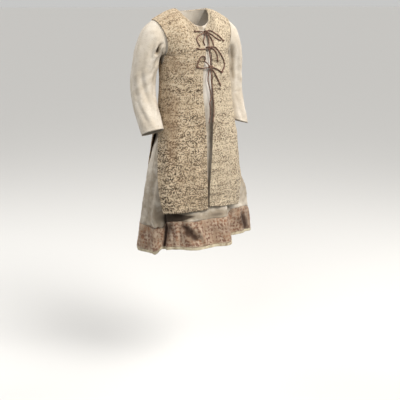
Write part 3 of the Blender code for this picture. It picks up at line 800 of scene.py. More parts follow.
@dataclass
class Cloth:
    """One piece of cloth: a thin closed shell on a surface, with its weave map.

    The surface function takes shares across and down. The relief takes the points and the
    shares and gives each point's height off the surface. Tones are kept as attributes.
    """

    name: str
    columns: int
    rows: int
    place: Place
    wall: float
    relief: Relief | None = None
    tones: dict[str, Relief] = field(default_factory=dict)
    closed: bool = False
    grid: Array = field(init=False, repr=False)
    outward: Array = field(init=False, repr=False)

    def line(self, edge: Edge, inset: float) -> tuple[Array, Array]:
        """Finds the line on the outer face that runs beside an edge.

        Args:
            edge: Edge that the line follows.
            inset: Metres from the edge to the line.

        Returns:
            The line's points and the outward direction at each.
        """
        grid, outward = self.grid, self.outward
        if edge in (Edge.LEFT, Edge.RIGHT):
            grid, outward = grid.swapaxes(0, 1), outward.swapaxes(0, 1)
        if edge in (Edge.BOTTOM, Edge.RIGHT):
            grid, outward = grid[::-1], outward[::-1]
        steps = np.linalg.norm(np.diff(grid, axis=0), axis=-1)
        reach = np.pad(np.cumsum(steps, axis=0), ((1, 0), (0, 0)))
        rows = np.arange(len(reach))
        spot = np.array([np.interp(inset, reach[:, k], rows) for k in range(reach.shape[1])])
        low = np.minimum(spot.astype(int), len(reach) - 2)
        share, columns = (spot - low)[:, None], np.arange(len(spot))
        line = mix(grid[low, columns], grid[low + 1, columns], share)
        normal = mix(outward[low, columns], outward[low + 1, columns], share)
        return line + normal * self.wall, normal

    def normals(self, points: Array) -> tuple[Array, bool]:
        """Finds the outward direction of each grid point.

        Args:
            points: Grid of points.

        Returns:
            The directions, and whether the grid is turned.
        """
        downward = np.gradient(points, axis=0)
        sideward = np.gradient(points, axis=1)
        if self.closed:
            sideward[:, 0] = sideward[:, -1] = points[:, 1] - points[:, -2]
        normal = np.cross(sideward, downward)
        normal /= np.maximum(np.linalg.norm(normal, axis=-1, keepdims=True), 1e-12)
        hub = points.mean(axis=1, keepdims=True) if self.closed else (0.0, BODY_AXIS_Y, 0.0)
        outward = (normal * (points - hub))[..., :2].sum()
        return (normal, True) if outward > 0.0 else (-normal, False)

    def weave_map(self, points: Array) -> tuple[Array, Array]:
        """Measures the cloth.

        Args:
            points: Grid of points.

        Returns:
            Metres from its middle line and from its top.
        """
        across = np.linalg.norm(np.diff(points, axis=1), axis=-1)
        across = np.pad(np.cumsum(across, axis=1), ((0, 0), (1, 0)))
        across -= across[:, [self.columns // 2]]
        down = np.linalg.norm(np.diff(points, axis=0), axis=-1).mean(axis=1)
        down = np.pad(np.cumsum(down), (1, 0))[:, None]
        return across, np.broadcast_to(down, across.shape)

    def build(self, material: bpy.types.Material) -> bpy.types.Object:
        """Makes the piece.

        Args:
            material: Finish of the cloth.

        Returns:
            The finished object.
        """
        shares = np.linspace(0.0, 1.0, self.columns + 1), np.linspace(0.0, 1.0, self.rows + 1)
        across, down = np.meshgrid(*shares)
        points = self.place(across, down)
        normal, turned = self.normals(points)
        u, v = self.weave_map(points)
        tones = {name: tone(points, u, v) for name, tone in self.tones.items()}
        if self.relief:
            points = points + normal * self.relief(points, u, v)[..., None]
        self.grid, self.outward = points, normal
        shape = bmesh.new()
        bmesh.ops.create_grid(shape, x_segments=self.columns, y_segments=self.rows, size=1.0)
        layers = {name: shape.verts.layers.float.new(name) for name in tones}
        weave = shape.loops.layers.uv.new("weave")
        spots = {}
        for vertex in shape.verts:
            i = round((vertex.co.x + 1.0) / 2.0 * self.columns)
            j = round((1.0 - vertex.co.y) / 2.0 * self.rows)
            spots[vertex] = (j, i)
            vertex.co = points[j, i]
            for name, layer in layers.items():
                vertex[layer] = tones[name][j, i]
        for face in shape.faces:
            face.smooth = True
            for loop in face.loops:
                spot = spots[loop.vert]
                loop[weave].uv = (u[spot], -v[spot])
        if turned:
            bmesh.ops.reverse_faces(shape, faces=shape.faces)
        if self.closed:
            bmesh.ops.remove_doubles(shape, verts=shape.verts, dist=1e-6)
        piece = mesh_object(self.name, shape, material)
        wall = piece.modifiers.new("Wall", "SOLIDIFY")
        wall.thickness = self.wall
        wall.offset = 1.0
        return piece


@dataclass
class Stitching:
    """Rows of hand-sewn running stitches that lie along the edges of cloth."""

    thread: bpy.types.Material
    length: float = 0.0050
    pitch: float = 0.0088
    radius: float = 0.00055
    sides: int = 5
    tilt: float = 0.10

    def row(self, shape: bmesh.types.BMesh, line: Array, normal: Array, seed: int) -> None:
        """Adds one row of stitches to a mesh.

        Args:
            shape: Mesh that takes the stitches.
            line: Points that the row follows.
            normal: Outward direction at each point.
            seed: Start of the row's own unevenness.
        """
        draw = np.random.default_rng(seed)
        run = np.append(0.0, np.cumsum(np.linalg.norm(np.diff(line, axis=0), axis=1)))
        for at in np.arange(self.pitch, run[-1] - self.pitch, self.pitch):
            at += draw.uniform(-0.1, 0.1) * self.pitch
            spots = (at, at - 0.4 * self.length, at + 0.4 * self.length)
            middle, start, end = (
                Vector([np.interp(spot, run, line[:, axis]) for axis in range(3)])
                for spot in spots
            )
            up = Vector([np.interp(at, run, normal[:, axis]) for axis in range(3)]).normalized()
            ahead = (end - start).normalized()
            ahead = (ahead + up.cross(ahead) * draw.normal(0.0, self.tilt)).normalized()
            side = up.cross(ahead).normalized()
            turn = Matrix((side, ahead.cross(side), ahead)).transposed().to_4x4()
            turn.translation = middle + up * self.radius * 0.35
            bmesh.ops.create_cone(
                shape,
                cap_ends=True,
                segments=self.sides,
                radius1=self.radius,
                radius2=self.radius * 0.7,
                depth=self.length * draw.uniform(0.85, 1.12),
                matrix=turn,
            )

    def sew(self, name: str, cloths: Sequence[Cloth], edges: dict[Edge, float]) -> bpy.types.Object:
        """Sews rows along the same edges of several pieces.

        Args:
            name: Name of the stitches.
            cloths: Pieces to sew.
            edges: Distance of the row from each edge that has one.

        Returns:
            The stitches, as one piece.
        """
        shape = bmesh.new()
        for index, cloth in enumerate(cloths):
            for turn, (edge, inset) in enumerate(edges.items()):
                self.row(shape, *cloth.line(edge, inset), seed=10 * index + turn)
        for face in shape.faces:
            face.smooth = True
        return finish_piece(mesh_object(name, shape, self.thread), Slot.LINEN)


def finish_piece(piece: bpy.types.Object, slot: Slot, *nodes: str) -> bpy.types.Object:
    """Lets a piece ride on the body and has it stand for its nodes.

    Args:
        piece: Piece to finish.
        slot: Its material slot; not used.
        nodes: Solids that it stands for.

    Returns:
        The same piece.
    """
    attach(piece, BODY)
    if nodes:
        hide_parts(*nodes)
    return piece


def past_neck(share: Array, bend: float, neck_share: float) -> Array:
    """Puts a grid column on the neck point, where the outline turns.

    Args:
        share: Even shares, -1 to 1.
        bend: Even share of that column.
        neck_share: Share across of the neck point.

    Returns:
        The shares across.
    """
    beyond = (np.abs(share) - bend) / (1.0 - bend)
    outer = np.copysign(mix(neck_share, 1.0, beyond), share)
    return np.where(np.abs(share) <= bend, share * neck_share / bend, outer)


def above_and_below(down_share: Array, upper_share: float) -> tuple[Array, Array]:
    """Returns the shares down the part above the armpits, and down the part below them."""
    below = np.maximum((down_share - upper_share) / (1.0 - upper_share), 0.0)
    return np.minimum(down_share / upper_share, 1.0), below


@dataclass
class UnderDress:
    """Front and back of the linen under-dress, from the neckline to the band seam."""

    form: DressForm
    linen: bpy.types.Material
    stitching: Stitching
    front_columns: int = 180
    back_columns: int = 110
    rows: int = 190
    upper_rows: int = 64
    neck_bend: float = 10.0 / 30.0
    neck_bend_back: float = 10.0 / 22.0
    neck_roll: float = 0.0006
    undercut: float = 0.0016
    covered_z: float = -0.44
    gauze_turn: float = 70.0
    edge_reach: float = 0.02
    ripple: Ripple = Ripple(0.042, 0.0012, 3, 0.0, 0.55)
    crinkle: Ripple = Ripple(0.013, 0.00035, 5, 20.0, 0.6, 24)
    gauze: Ripple = Ripple(0.014, 0.0007, 7, 62.0, 0.25, 20)

    def place(self, face: int, across_share: Array, down_share: Array) -> Array:
        """Works out the inside of one face.

        Args:
            face: Front or back.
            across_share: Shares across, 0 to 1.
            down_share: Shares down, 0 to 1.

        Returns:
            The points.
        """
        form, upper_share = self.form, self.upper_rows / self.rows
        bend = self.neck_bend if face < 0 else self.neck_bend_back
        across = past_neck(mix(-1.0, 1.0, across_share), bend, form.neck_share)
        across = across * (1.0 - form.seam_trim / form.half_panel)
        start = form.seam_trim / form.upper_length
        down, low_share = above_and_below(down_share, upper_share)
        upper = form.above_armpits(across, mix(start, 1.0, down), face)
        angle = 90.0 * across if face < 0 else 180.0 - 90.0 * across
        bottom = form.hem_z(angle) + form.binding_height + form.band_height + form.seam_trim
        bottom = bottom - form.seam_sink(angle)
        lower = form.below_armpits(angle, mix(form.armpit_z, bottom, low_share))
        return np.where((down_share <= upper_share)[..., None], upper, lower)

    def relief(self, face: int, points: Array, u: Array, v: Array) -> Array:
        """Works out the creases and unevenness of one face.

        Args:
            face: Front or back.
            points: Grid of points.
            u: Metres across.
            v: Metres down.

        Returns:
            Height of each point.
        """
        creases = DRESS_FRONT_CREASES if face < 0 else DRESS_BACK_CREASES
        z = points[..., 2]
        turn = bearing(points, face)
        shown = eased((self.covered_z - z) / 0.10)
        raised = crease_relief(turn, z, creases, BODY_DEGREE) * shown
        raised += (self.ripple.at(u, v) + self.crinkle.at(u, v)) * (0.25 + 0.75 * shown)
        raised += self.gauze.at(u, v) * eased((np.abs(turn) - self.gauze_turn) / 10.0) * shown
        sides = off_sides(u, self.edge_reach)
        ends = eased(v / self.edge_reach) * eased((v.max() - v) / 0.012)
        roll = self.neck_roll * np.exp(-((v / 0.004) ** 2)) * (np.abs(points[..., 0]) < 0.07)
        return raised * sides * ends + roll - self.undercut * (1.0 - shown) * sides * ends

    def build(self) -> list[bpy.types.Object]:
        """Builds both faces.

        Returns:
            The front, the back and the neck's stitches.
        """
        pieces, cloths = [], []
        for face, name, columns, blots, flat, area in (
            (FRONT, "dress_front", self.front_columns, DRESS_FRONT_BLOTS, (0.60, 0.82), 0.33),
            (BACK, "dress_back", self.back_columns, DRESS_BACK_BLOTS, (0.60, 0.84), 0.33),
        ):
            cloth = Cloth(
                name + "_cloth",
                columns,
                self.rows,
                partial(self.place, face),
                self.form.wall,
                partial(self.relief, face),
                {"worn": partial(patches, face, blots)},
            )
            piece = finish_piece(cloth.build(self.linen), Slot.LINEN, name)
            pieces.append(piece)
            cloths.append(cloth)
        pieces.append(self.stitching.sew("dress_neck_stitches", cloths, {Edge.TOP: 0.006}))
        return pieces


@dataclass
class HemBand:
    """Patterned band at the hem and the pale binding along its lower edge."""

    form: DressForm
    band: bpy.types.Material
    binding: bpy.types.Material
    stitching: Stitching
    columns: int = 220
    band_rows: int = 36
    binding_rows: int = 6
    wall: float = 0.0018
    edge_reach: float = 0.02
    ripple: Ripple = Ripple(0.030, 0.0011, 11, 0.0, 0.5)
    crinkle: Ripple = Ripple(0.011, 0.0003, 13, 30.0, 0.8, 24)

    def place(
        self, face: int, low: float, high: float, across_share: Array, down_share: Array
    ) -> Array:
        """Works out the inside of a strip.

        Args:
            face: Front or back.
            low: Its bottom above the lowest edge.
            high: Its top above that edge.
            across_share: Shares across, 0 to 1.
            down_share: Shares down, 0 to 1.

        Returns:
            The points.
        """
        form = self.form
        across = mix(-1.0, 1.0, across_share) * (1.0 - form.seam_trim / form.half_panel)
        angle = 90.0 * across if face < 0 else 180.0 - 90.0 * across
        bottom = low + (form.seam_trim if low else 0.0)
        sink = form.seam_sink(angle) * (low > 0.0)
        z = form.hem_z(angle) + mix(high - form.seam_trim - sink, bottom, down_share)
        return form.below_armpits(angle, z)

    def relief(self, face: int, points: Array, u: Array, v: Array) -> Array:
        """Works out the creases of one face, shared by band and binding.

        Args:
            face: Front or back.
            points: Grid of points.
            u: Metres across.
            v: Metres down.

        Returns:
            Height of each point.
        """
        creases = BAND_FRONT_CREASES if face < 0 else BAND_BACK_CREASES
        turn, z = bearing(points, face), points[..., 2]
        raised = crease_relief(turn, z, creases, BODY_DEGREE)
        across = turn * BODY_DEGREE
        raised += self.ripple.at(across, z) + self.crinkle.at(across, z)
        return raised * off_sides(u, self.edge_reach)

    def build(self) -> list[bpy.types.Object]:
        """Returns:
            The four strips and their stitches.
        """
        pieces, cloths = [], []
        seam = self.form.binding_height
        top = seam + self.form.band_height
        faces = ((FRONT, "front", BAND_FRONT_BLOTS), (BACK, "back", BAND_BACK_BLOTS))
        for face, label, blots in faces:
            for name, low, high, rows, material, slot in (
                ("hem_band", seam, top, self.band_rows, self.band, Slot.BAND),
                ("hem_binding", 0.0, seam, self.binding_rows, self.binding, Slot.BINDING),
            ):
                node = f"{name}_{label}"
                cloth = Cloth(
                    node + "_cloth",
                    self.columns,
                    rows,
                    partial(self.place, face, low, high),
                    self.wall,
                    partial(self.relief, face),
                    {"worn": partial(patches, face, blots)},
                )
                piece = finish_piece(cloth.build(material), slot, node)
                pieces.append(piece)
                cloths.append(cloth)
        pieces.append(self.stitching.sew("hem_band_stitches", cloths, {Edge.TOP: 0.0028}))
        return pieces


@dataclass
class Sleeves:
    """Long set-in sleeves of the under-dress, each an open tube round the arm."""

    form: DressForm
    linen: bpy.types.Material
    stitching: Stitching
    columns: int = 96
    rows: int = 150
    armhole_gap: float = 0.0008
    armpit_gap: float = 0.0028
    cuff_groove: float = 0.0007
    cuff_groove_at: float = 0.012
    ripple: Ripple = Ripple(0.055, 0.0009, 21, 25.0, 0.35)
    crinkle: Ripple = Ripple(0.015, 0.00018, 23, 30.0, 0.8, 24)

    def ring(self, rows: Sequence[SleeveRow], share: Array, turn: Array) -> Array:
        """Works out the rings of a left sleeve.

        Args:
            rows: Rings from shoulder to cuff.
            share: Shares down.
            turn: Radians round from the outer side.

        Returns:
            The points.
        """
        steps = np.arange(len(rows)) / (len(rows) - 1.0)
        keyed = zip(SleeveRow._fields, np.array(rows).T)
        row = {name: curve_at(steps, values, share) for name, values in keyed}
        roll, bend = np.radians(row["roll"]), np.radians(row["bend"])
        outward = stacked(np.cos(roll), row["lean"] / row["out"], np.sin(roll))
        forward = stacked(np.zeros_like(bend), -np.cos(bend), np.sin(bend))
        out = (row["out"] * np.cos(turn))[..., None] * outward
        ahead = (row["front"] * np.sin(turn))[..., None] * forward
        return stacked(row["x"], row["y"], row["z"]) + out + ahead

    def place(
        self, side: int, rows: Sequence[SleeveRow], across_share: Array, down_share: Array
    ) -> Array:
        """Works out the inside of one sleeve.

        Args:
            side: -1 on the right, 1 on the left.
            rows: Rings from shoulder to cuff.
            across_share: Shares across, 0 to 1.
            down_share: Shares down, 0 to 1.

        Returns:
            The points.
        """
        turn = math.tau * across_share
        points = self.ring(rows, down_share, turn)
        sunk = (1.0 - np.cos(turn)) / 2.0
        seam = self.form.armhole(sunk, 1.0, np.where(np.sin(turn) > 1e-9, -1.0, 1.0))
        seam[..., 0] += self.armhole_gap + self.armpit_gap * sunk * sunk
        fade = eased(1.0 - down_share * (len(rows) - 1))[..., None]
        points = points + (seam - self.ring(rows, np.zeros_like(turn), turn)) * fade
        return points * (side, 1.0, 1.0)

    def turns(self, u: Array) -> Array:
        """Returns the degrees round the arm of each grid point."""
        return np.broadcast_to(np.linspace(0.0, 360.0, self.columns + 1), u.shape)

    def relief(self, creases: Sequence[Crease], points: Array, u: Array, v: Array) -> Array:
        """Works out the creases and unevenness of one sleeve.

        Args:
            creases: Lines on the sleeve.
            points: Grid of points.
            u: Metres across.
            v: Metres down.

        Returns:
            Height of each point.
        """
        turn = self.turns(u)
        raised = crease_relief(turn, points[..., 2], creases, SLEEVE_DEGREE)
        closing = np.minimum(turn, 360.0 - turn) / 25.0
        fine = self.ripple.at(u, v) + self.crinkle.at(u, v)
        from_cuff = v.max() - v - self.cuff_groove_at
        hem = self.cuff_groove * np.exp(-((from_cuff / 0.0022) ** 2))
        ends = eased(v / 0.025)
        return (raised + fine * eased(closing)) * ends - hem

    def tone(self, blots: Sequence[Blot], points: Array, u: Array, v: Array) -> Array:
        """Returns how much one sleeve is darkened: painted shade in the armpit and beside the
        tunic, and broader grey patches.
        """
        return blot_tone(self.turns(u), points[..., 2], blots)

    def build(self) -> list[bpy.types.Object]:
        """Builds both sleeves.

        Returns:
            The right and the left sleeve, and the stitches of their cuffs.
        """
        pieces, cloths = [], []
        for name, side, end, creases, blots in (
            ("sleeve_right", -1, SLEEVE_RIGHT_END, SLEEVE_RIGHT_CREASES, SLEEVE_RIGHT_BLOTS),
            ("sleeve_left", 1, SLEEVE_LEFT_END, SLEEVE_LEFT_CREASES, SLEEVE_LEFT_BLOTS),
        ):
            cloth = Cloth(
                name + "_cloth",
                self.columns,
                self.rows,
                partial(self.place, side, SLEEVE_TOP + end),
                self.form.wall,
                partial(self.relief, creases),
                {"worn": partial(self.tone, blots)},
                True,
            )
            piece = finish_piece(cloth.build(self.linen), Slot.LINEN, name)
            pieces.append(piece)
            cloths.append(cloth)
        pieces.append(self.stitching.sew("cuff_stitches", cloths, {Edge.BOTTOM: 0.0115}))
        return pieces


@dataclass
class OverTunic:
    """Open-fronted sleeveless tunic of slub tweed: two fronts and a back."""

    form: TunicForm
    front_material: dict[int, bpy.types.Material]
    back_material: bpy.types.Material
    stitching: Stitching
    columns: int = 80
    back_columns: int = 126
    rows: int = 190
    upper_rows: int = 64
    neck_bend: float = 0.4
    back_neck_bend: float = 8.0 / 18.0
    edge_fold: float = 0.0005
    edge_groove: float = 0.0007
    hems: dict[int, PanelHem] = field(
        default_factory=lambda: {
            -1: PanelHem(-0.722, -0.727),
            1: PanelHem(-0.712, -0.732),
            0: PanelHem(-0.728, -0.734),
        }
    )
    ripple: Ripple = Ripple(0.060, 0.0008, 31, 0.0, 0.45)
    slub: Ripple = Ripple(0.010, 0.00016, 33, 90.0, 0.12, 28)

    def open_angle(self, side: int, z: Array | float) -> Array:
        """Finds the edge of the front opening.

        Args:
            side: -1 on the right, 1 on the left.
            z: Heights.

        Returns:
            Degrees round the body.
        """
        column = "open_right" if side < 0 else "open_left"
        reach = read_rows(TUNIC_FRONT_ROWS, "z", z, column)
        reach = reach - read_rows(TUNIC_FRONT_ROWS, "z", z, "shift")
        half_width = read_rows(TUNIC_FRONT_ROWS, "z", z, "half_width")
        return np.degrees(np.arcsin(reach / half_width))

    def front_place(self, side: int, across_share: Array, down_share: Array) -> Array:
        """Works out the inside of one front.

        Args:
            side: -1 on the right, 1 on the left.
            across_share: Shares across, 0 to 1.
            down_share: Shares down, 0 to 1.

        Returns:
            The points.
        """
        form, upper_share, hem = self.form, self.upper_rows / self.rows, self.hems[side]
        down, low_share = above_and_below(down_share, upper_share)
        start = self.open_angle(side, form.dress.armpit_z) / 90.0
        edge = mix(form.arm_edge_top, form.arm_edge_low, eased(down))
        inner = mix(start, side * form.dress.neck_share, across_share / self.neck_bend)
        beyond = (across_share - self.neck_bend) / (1.0 - self.neck_bend)
        outer = side * mix(form.dress.neck_share, edge, beyond)
        across = np.where(across_share > self.neck_bend, outer, inner)
        v_share = np.maximum(0.0, 1.0 - np.abs(across) / form.v_reach)
        top = mix(form.top_share, form.v_share, v_share)
        upper = form.above_armpits(across, mix(top, 1.0, down), FRONT)
        z = mix(form.dress.armpit_z, mix(hem.inner, hem.outer, across_share), low_share)
        slit = read_rows(SLIT_EDGES, "z", z, "right" if side < 0 else "left")
        end = np.minimum(90.0 * form.arm_edge(z, form.arm_edge_low), slit)
        inner_end = self.open_angle(side, z)
        lower = form.below_armpits(mix(inner_end, side * end, across_share), z)
        return np.where((down_share <= upper_share)[..., None], upper, lower)

    def back_place(self, across_share: Array, down_share: Array) -> Array:
        """Works out the inside of the back.

        Args:
            across_share: Shares across, 0 to 1.
            down_share: Shares down, 0 to 1.

        Returns:
            The points.
        """
        form, upper_share, hem = self.form, self.upper_rows / self.rows, self.hems[0]
        spread = mix(-1.0, 1.0, across_share)
        down, low_share = above_and_below(down_share, upper_share)
        edge = mix(form.arm_edge_top, form.arm_edge_low_back, eased(down))
        across = past_neck(spread, self.back_neck_bend, form.dress.neck_share) * edge
        upper = form.above_armpits(across, mix(form.top_share, 1.0, down), BACK)
        z = mix(form.dress.armpit_z, mix(hem.inner, hem.outer, np.abs(spread)), low_share)
        slit = read_rows(SLIT_EDGES, "z", z, "back")
        end = np.minimum(90.0 * form.arm_edge(z, form.arm_edge_low_back), slit)
        lower = form.below_armpits(180.0 - spread * end, z)
        return np.where((down_share <= upper_share)[..., None], upper, lower)

    def relief(
        self,
        face: int,
        creases: Sequence[Crease],
        seed_shift: float,
        points: Array,
        u: Array,
        v: Array,
    ) -> Array:
        """Works out the creases, slubs and turned edges of one panel.

        Args:
            face: Front or back.
            creases: Lines on the panel.
            seed_shift: Metres to move the ripples by.
            points: Grid of points.
            u: Metres across.
            v: Metres down.

        Returns:
            Height of each point.
        """
        turn, z = bearing(points, face), points[..., 2]
        lower = eased((-0.10 - z) / 0.06)
        raised = crease_relief(turn, z, creases, BODY_DEGREE) * lower
        raised += self.ripple.at(u + seed_shift, v) * (0.3 + 0.7 * lower)
        raised = np.maximum(raised, -0.0012 - 0.02 * eased((-0.55 - z) / 0.2))
        left = u - u.min(axis=1, keepdims=True)
        right = u.max(axis=1, keepdims=True) - u
        edge = np.minimum(np.minimum(left, right), np.minimum(v, v.max() - v))
        turned_edge = self.edge_fold * np.exp(-(((edge - 0.005) / 0.004) ** 2))
        groove = self.edge_groove * np.exp(-(((edge - 0.0115) / 0.0016) ** 2))
        slubs = self.slub.at(u + seed_shift, v)
        return raised * eased(edge / 0.03) + slubs + turned_edge - groove

    def flecks(self, face: int, blots: Sequence[Blot], points: Array, u: Array, v: Array) -> Array:
        """Works out the density of one panel's dark flecking, which also paints light: its top
        paler and its hem darker.

        Args:
            face: Front or back.
            blots: Where they lie closer or further apart.
            points: Grid of points.
            u: Metres across.
            v: Metres down.

        Returns:
            Closeness at each point, 0.5 being usual.
        """
        turn, z = bearing(points, face), points[..., 2]
        dark = [blot for blot in blots if blot.strength > 0.0]
        pale = [blot._replace(strength=-blot.strength) for blot in blots if blot.strength < 0.0]
        return 0.5 + 0.5 * (blot_tone(turn, z, dark) - blot_tone(turn, z, pale))

    def build(self) -> list[bpy.types.Object]:
        """Returns:
            The right front, the left front, the back and their stitches.
        """
        pieces, cloths = [], []
        right, left = self.front_material[-1], self.front_material[1]
        for name, face, place, columns, material, creases, blots, flecks, flat, area in (
            (
                "vest_front_right", FRONT, partial(self.front_place, -1), self.columns, right,
                TUNIC_RIGHT_CREASES, TUNIC_RIGHT_BLOTS, TUNIC_RIGHT_FLECKS_AND_PAINTED_LIGHT, (0.24, 0.76), 0.145,
            ),
            (
                "vest_front_left", FRONT, partial(self.front_place, 1), self.columns, left,
                TUNIC_LEFT_CREASES, TUNIC_LEFT_BLOTS, TUNIC_LEFT_FLECKS_AND_PAINTED_LIGHT, (0.26, 0.76), 0.155,
            ),
            (
                "vest_back", BACK, self.back_place, self.back_columns, self.back_material,
                TUNIC_BACK_CREASES, TUNIC_BACK_BLOTS, TUNIC_BACK_FLECKS_AND_PAINTED_LIGHT, (0.44, 0.76), 0.29,
            ),
        ):
            cloth = Cloth(
                name + "_cloth",
                columns,
                self.rows,
                place,
                self.form.wall,
                partial(self.relief, face, creases, len(name) / 10.0),
                {
                    "stain": partial(patches, face, blots),
                    "flecks": partial(self.flecks, face, flecks),
                },
            )
            piece = finish_piece(cloth.build(material), Slot.TWEED, name)
            pieces.append(piece)
            cloths.append(cloth)
        edges = {Edge.TOP: 0.009, Edge.BOTTOM: 0.010, Edge.LEFT: 0.009, Edge.RIGHT: 0.009}
        pieces.append(self.stitching.sew("tunic_edge_stitches", cloths, edges))
        return pieces


# Routes on the front, X and Z in millimetres
LACES = (
    Lace("lace_top_right", "knot", ("knot_top_right_end",), (5, -20, -44), (-60, -56.5, -56)),
    Lace(
        "lace_top_loop", "bare", (), (5, -15, -36, -45, -42, -36), (-60, -65, -73, -83, -96, -109)
    ),
    Lace("lace_top_inner", "bare", (), (4, -7, -18, -14), (-60, -78, -92, -106)),
    Lace("lace_top_cross", "object", ("knot_middle",), (5, 9.5, 8.5, 1), (-60, -75, -88, -115.5)),
    Lace("lace_top_outer", "bare", (), (7, 19, 24, 25), (-60, -76, -90, -108)),
    Lace(
        "lace_top_left_upper", "knot", ("knot_top_left_end",),
        (5, 22, 34, 45, 61, 78),
        (-60, -53, -56, -63, -74, -90),
    ),
    Lace(
        "lace_top_left_lower", "bare", ("knot_top",), (5, 22, 36, 50, 65), (-60, -64, -74, -84, -90)
    ),
    Lace(
        "lace_middle_right", "knot", ("knot_middle_right_end",),
        (1, -25, -48),
        (-115.5, -119, -116.5),
    ),
    Lace("lace_middle_end", "bare", (), (1, 20, 29, 34.5, 35), (-115.5, -120, -131, -150, -169)),
    Lace(
        "lace_middle_long", "knot", ("knot_bottom_left_end",),
        (3, 24, 40, 52, 68, 74, 66, 54),
        (-115, -111.5, -122, -140, -159, -179, -194, -205.5),
    ),
    Lace(
        "lace_down_the_middle", "object", ("knot_bottom",),
        (-1, -1.5, -1, 1, 0),
        (-116, -128, -145, -162, -184),
    ),
    Lace(
        "lace_bottom_right", "knot", ("knot_bottom_right_end",), (0, -28, -53), (-184, -187, -183)
    ),
    Lace(
        "lace_bottom_loops", "object", (),
        (-53, -50, -41, -30, -20.5, -25, -15, 0),
        (-183, -166, -148, -142, -150, -161, -168, -184),
    ),
    Lace("lace_bottom_left", "object", (), (0, 26, 54), (-184, -190, -205.5)),
    Lace("lace_bottom_end", "bare", (), (0, 14, 23, 36, 50), (-184, -199, -212, -233, -259)),
    Lace(
        "lace_hanging_left", "bare", (),
        (2, 3, 3, 8.5, 10, 12, 11, 4),
        (-184, -212, -236, -268, -300, -330, -359, -392),
    ),
    Lace(
        "lace_hanging_right", "bare", (),
        (-3, -9, -12, -5, 1, -6, -4, -5, -13),
        (-184, -205, -232, -260, -298, -316, -340, -366, -394),
    ),
)


@dataclass
class Ties:
    """Leather laces and their knots, resting on the over-tunic's fronts."""

    form: TunicForm
    leather: bpy.types.Material
    cloths: list[BVHTree]
    radius: float = 0.0024
    gap: float = 0.0004
    knot_margin: float = 0.0009
    knot_swell: float = 1.28
    knot_points: int = 54
    step: float = 0.0045
    rest_steps: int = 6

    def rest(self, point: Vector, x: float, z: float, reach: float) -> Vector:
        """Seats a point on the cloth.

        Args:
            point: Where it is now.
            x: Place on the front.
            z: Height on the front.
            reach: Distance that it keeps from the cloth.

        Returns:
            The point, pushed off the cloth where it lay nearer than that.
        """
        normal = self.form.chest_normal(x, z)
        for _ in range(self.rest_steps):
            nearest = min(cloth.find_nearest(point)[3] for cloth in self.cloths)
            if nearest >= reach:
                break
            point = point + normal * (reach - nearest)
        return point

    def knot_centre(self, knot: Knot) -> Vector:
        """Returns where a knot's middle lies when it rests on the cloth.

        Args:
            knot: The knot.

        Returns:
            Its middle.
        """
        reach = (Vector(knot.halves) * self.form.chest_normal(knot.x, knot.z)).length + self.gap
        start = self.form.on_chest(knot.x, knot.z, reach)
        return self.rest(start, knot.x, knot.z, reach)

    def clear_of_knots(self, point: Vector, centres: dict[str, Vector]) -> bool:
        """Returns whether a lace's middle line is outside every knot here.

        Args:
            point: Point of that line.
            centres: Middle of each knot.

        Returns:
            True outside every knot.
        """
        for knot in KNOTS:
            away = zip(point - centres[knot.name], knot.halves)
            share = Vector([gap / (half + self.knot_margin) for gap, half in away])
            if share.length < 1.0:
                return False
        return True

    def route(self, lace: Lace, centres: dict[str, Vector]) -> list[Vector]:
        """Returns evenly spaced points along a lace, from knot to knot or free end.

        Args:
            lace: The lace.
            centres: Middle of each knot.

        Returns:
            The points.
        """
        reach = self.radius + self.gap
        places = [(x / 1000.0, z / 1000.0) for x, z in zip(lace.x, lace.z)]
        marks = [self.form.on_chest(x, z, reach) for x, z in places]
        dense = [p for p in smooth_route(marks) if self.clear_of_knots(p, centres)]
        points = even_points(dense, self.step)
        return [self.rest(point, point.x, point.z, reach) for point in points]

    def strand(self, lace: Lace, points: list[Vector]) -> bpy.types.Object:
        """Makes one leather strand, a little thicker and thinner along its length.

        Args:
            lace: The lace.
            points: Points along it.

        Returns:
            The strand.
        """
        piece = tube(lace.name + "_strand", points, self.radius, self.leather)
        piece.data.use_fill_caps = True
        places = piece.data.splines[0].points
        draw = np.random.default_rng(len(lace.name) + len(points))
        for place in places:
            place.radius = 1.0 + draw.uniform(-0.09, 0.06)
        if lace.far_end == "bare":
            places[-1].radius = 0.72
        return piece

    def knot(self, knot: Knot, centre: Vector) -> bpy.types.Object:
        """Makes one knot: the strand wound over and under itself inside the knot's size.

        Args:
            knot: The knot.
            centre: Its middle.

        Returns:
            The finished knot.
        """
        thick = min(self.radius, 0.42 * knot.half_y + 0.0001)
        points = []
        for turn in math.tau * np.arange(self.knot_points) / self.knot_points:
            wide = (math.sin(turn) + 2.0 * math.sin(2.0 * turn)) / 2.75
            tall = (math.cos(turn) - 2.0 * math.cos(2.0 * turn)) / 3.0
            deep = -math.sin(3.0 * turn)
            offset = Vector(
                (
                    wide * (knot.half_x * self.knot_swell - thick),
                    deep * (knot.half_y - thick) * 0.95,
                    tall * (knot.half_z * self.knot_swell - thick),
                )
            )
            points.append(centre + offset)
        piece = tube(knot.name + "_wound", points, thick, self.leather)
        piece.data.splines[0].use_cyclic_u = True
        return finish_piece(piece, Slot.LEATHER, knot.name)

    def build(self) -> list[bpy.types.Object]:
        """Builds the knots, then the strands.

        Returns:
            Every tie piece.
        """
        centres = {knot.name: self.knot_centre(knot) for knot in KNOTS}
        knots = {knot.name: self.knot(knot, centres[knot.name]) for knot in KNOTS}
        pieces = list(knots.values())
        for lace in LACES:
            points = self.route(lace, centres)
            piece = finish_piece(self.strand(lace, points), Slot.LEATHER, lace.name)
            length = sum((b - a).length for a, b in zip(points, points[1:]))
            tuple(points[0])
            [knots[name] for name in lace.knots]
            pieces.append(piece)
        return pieces


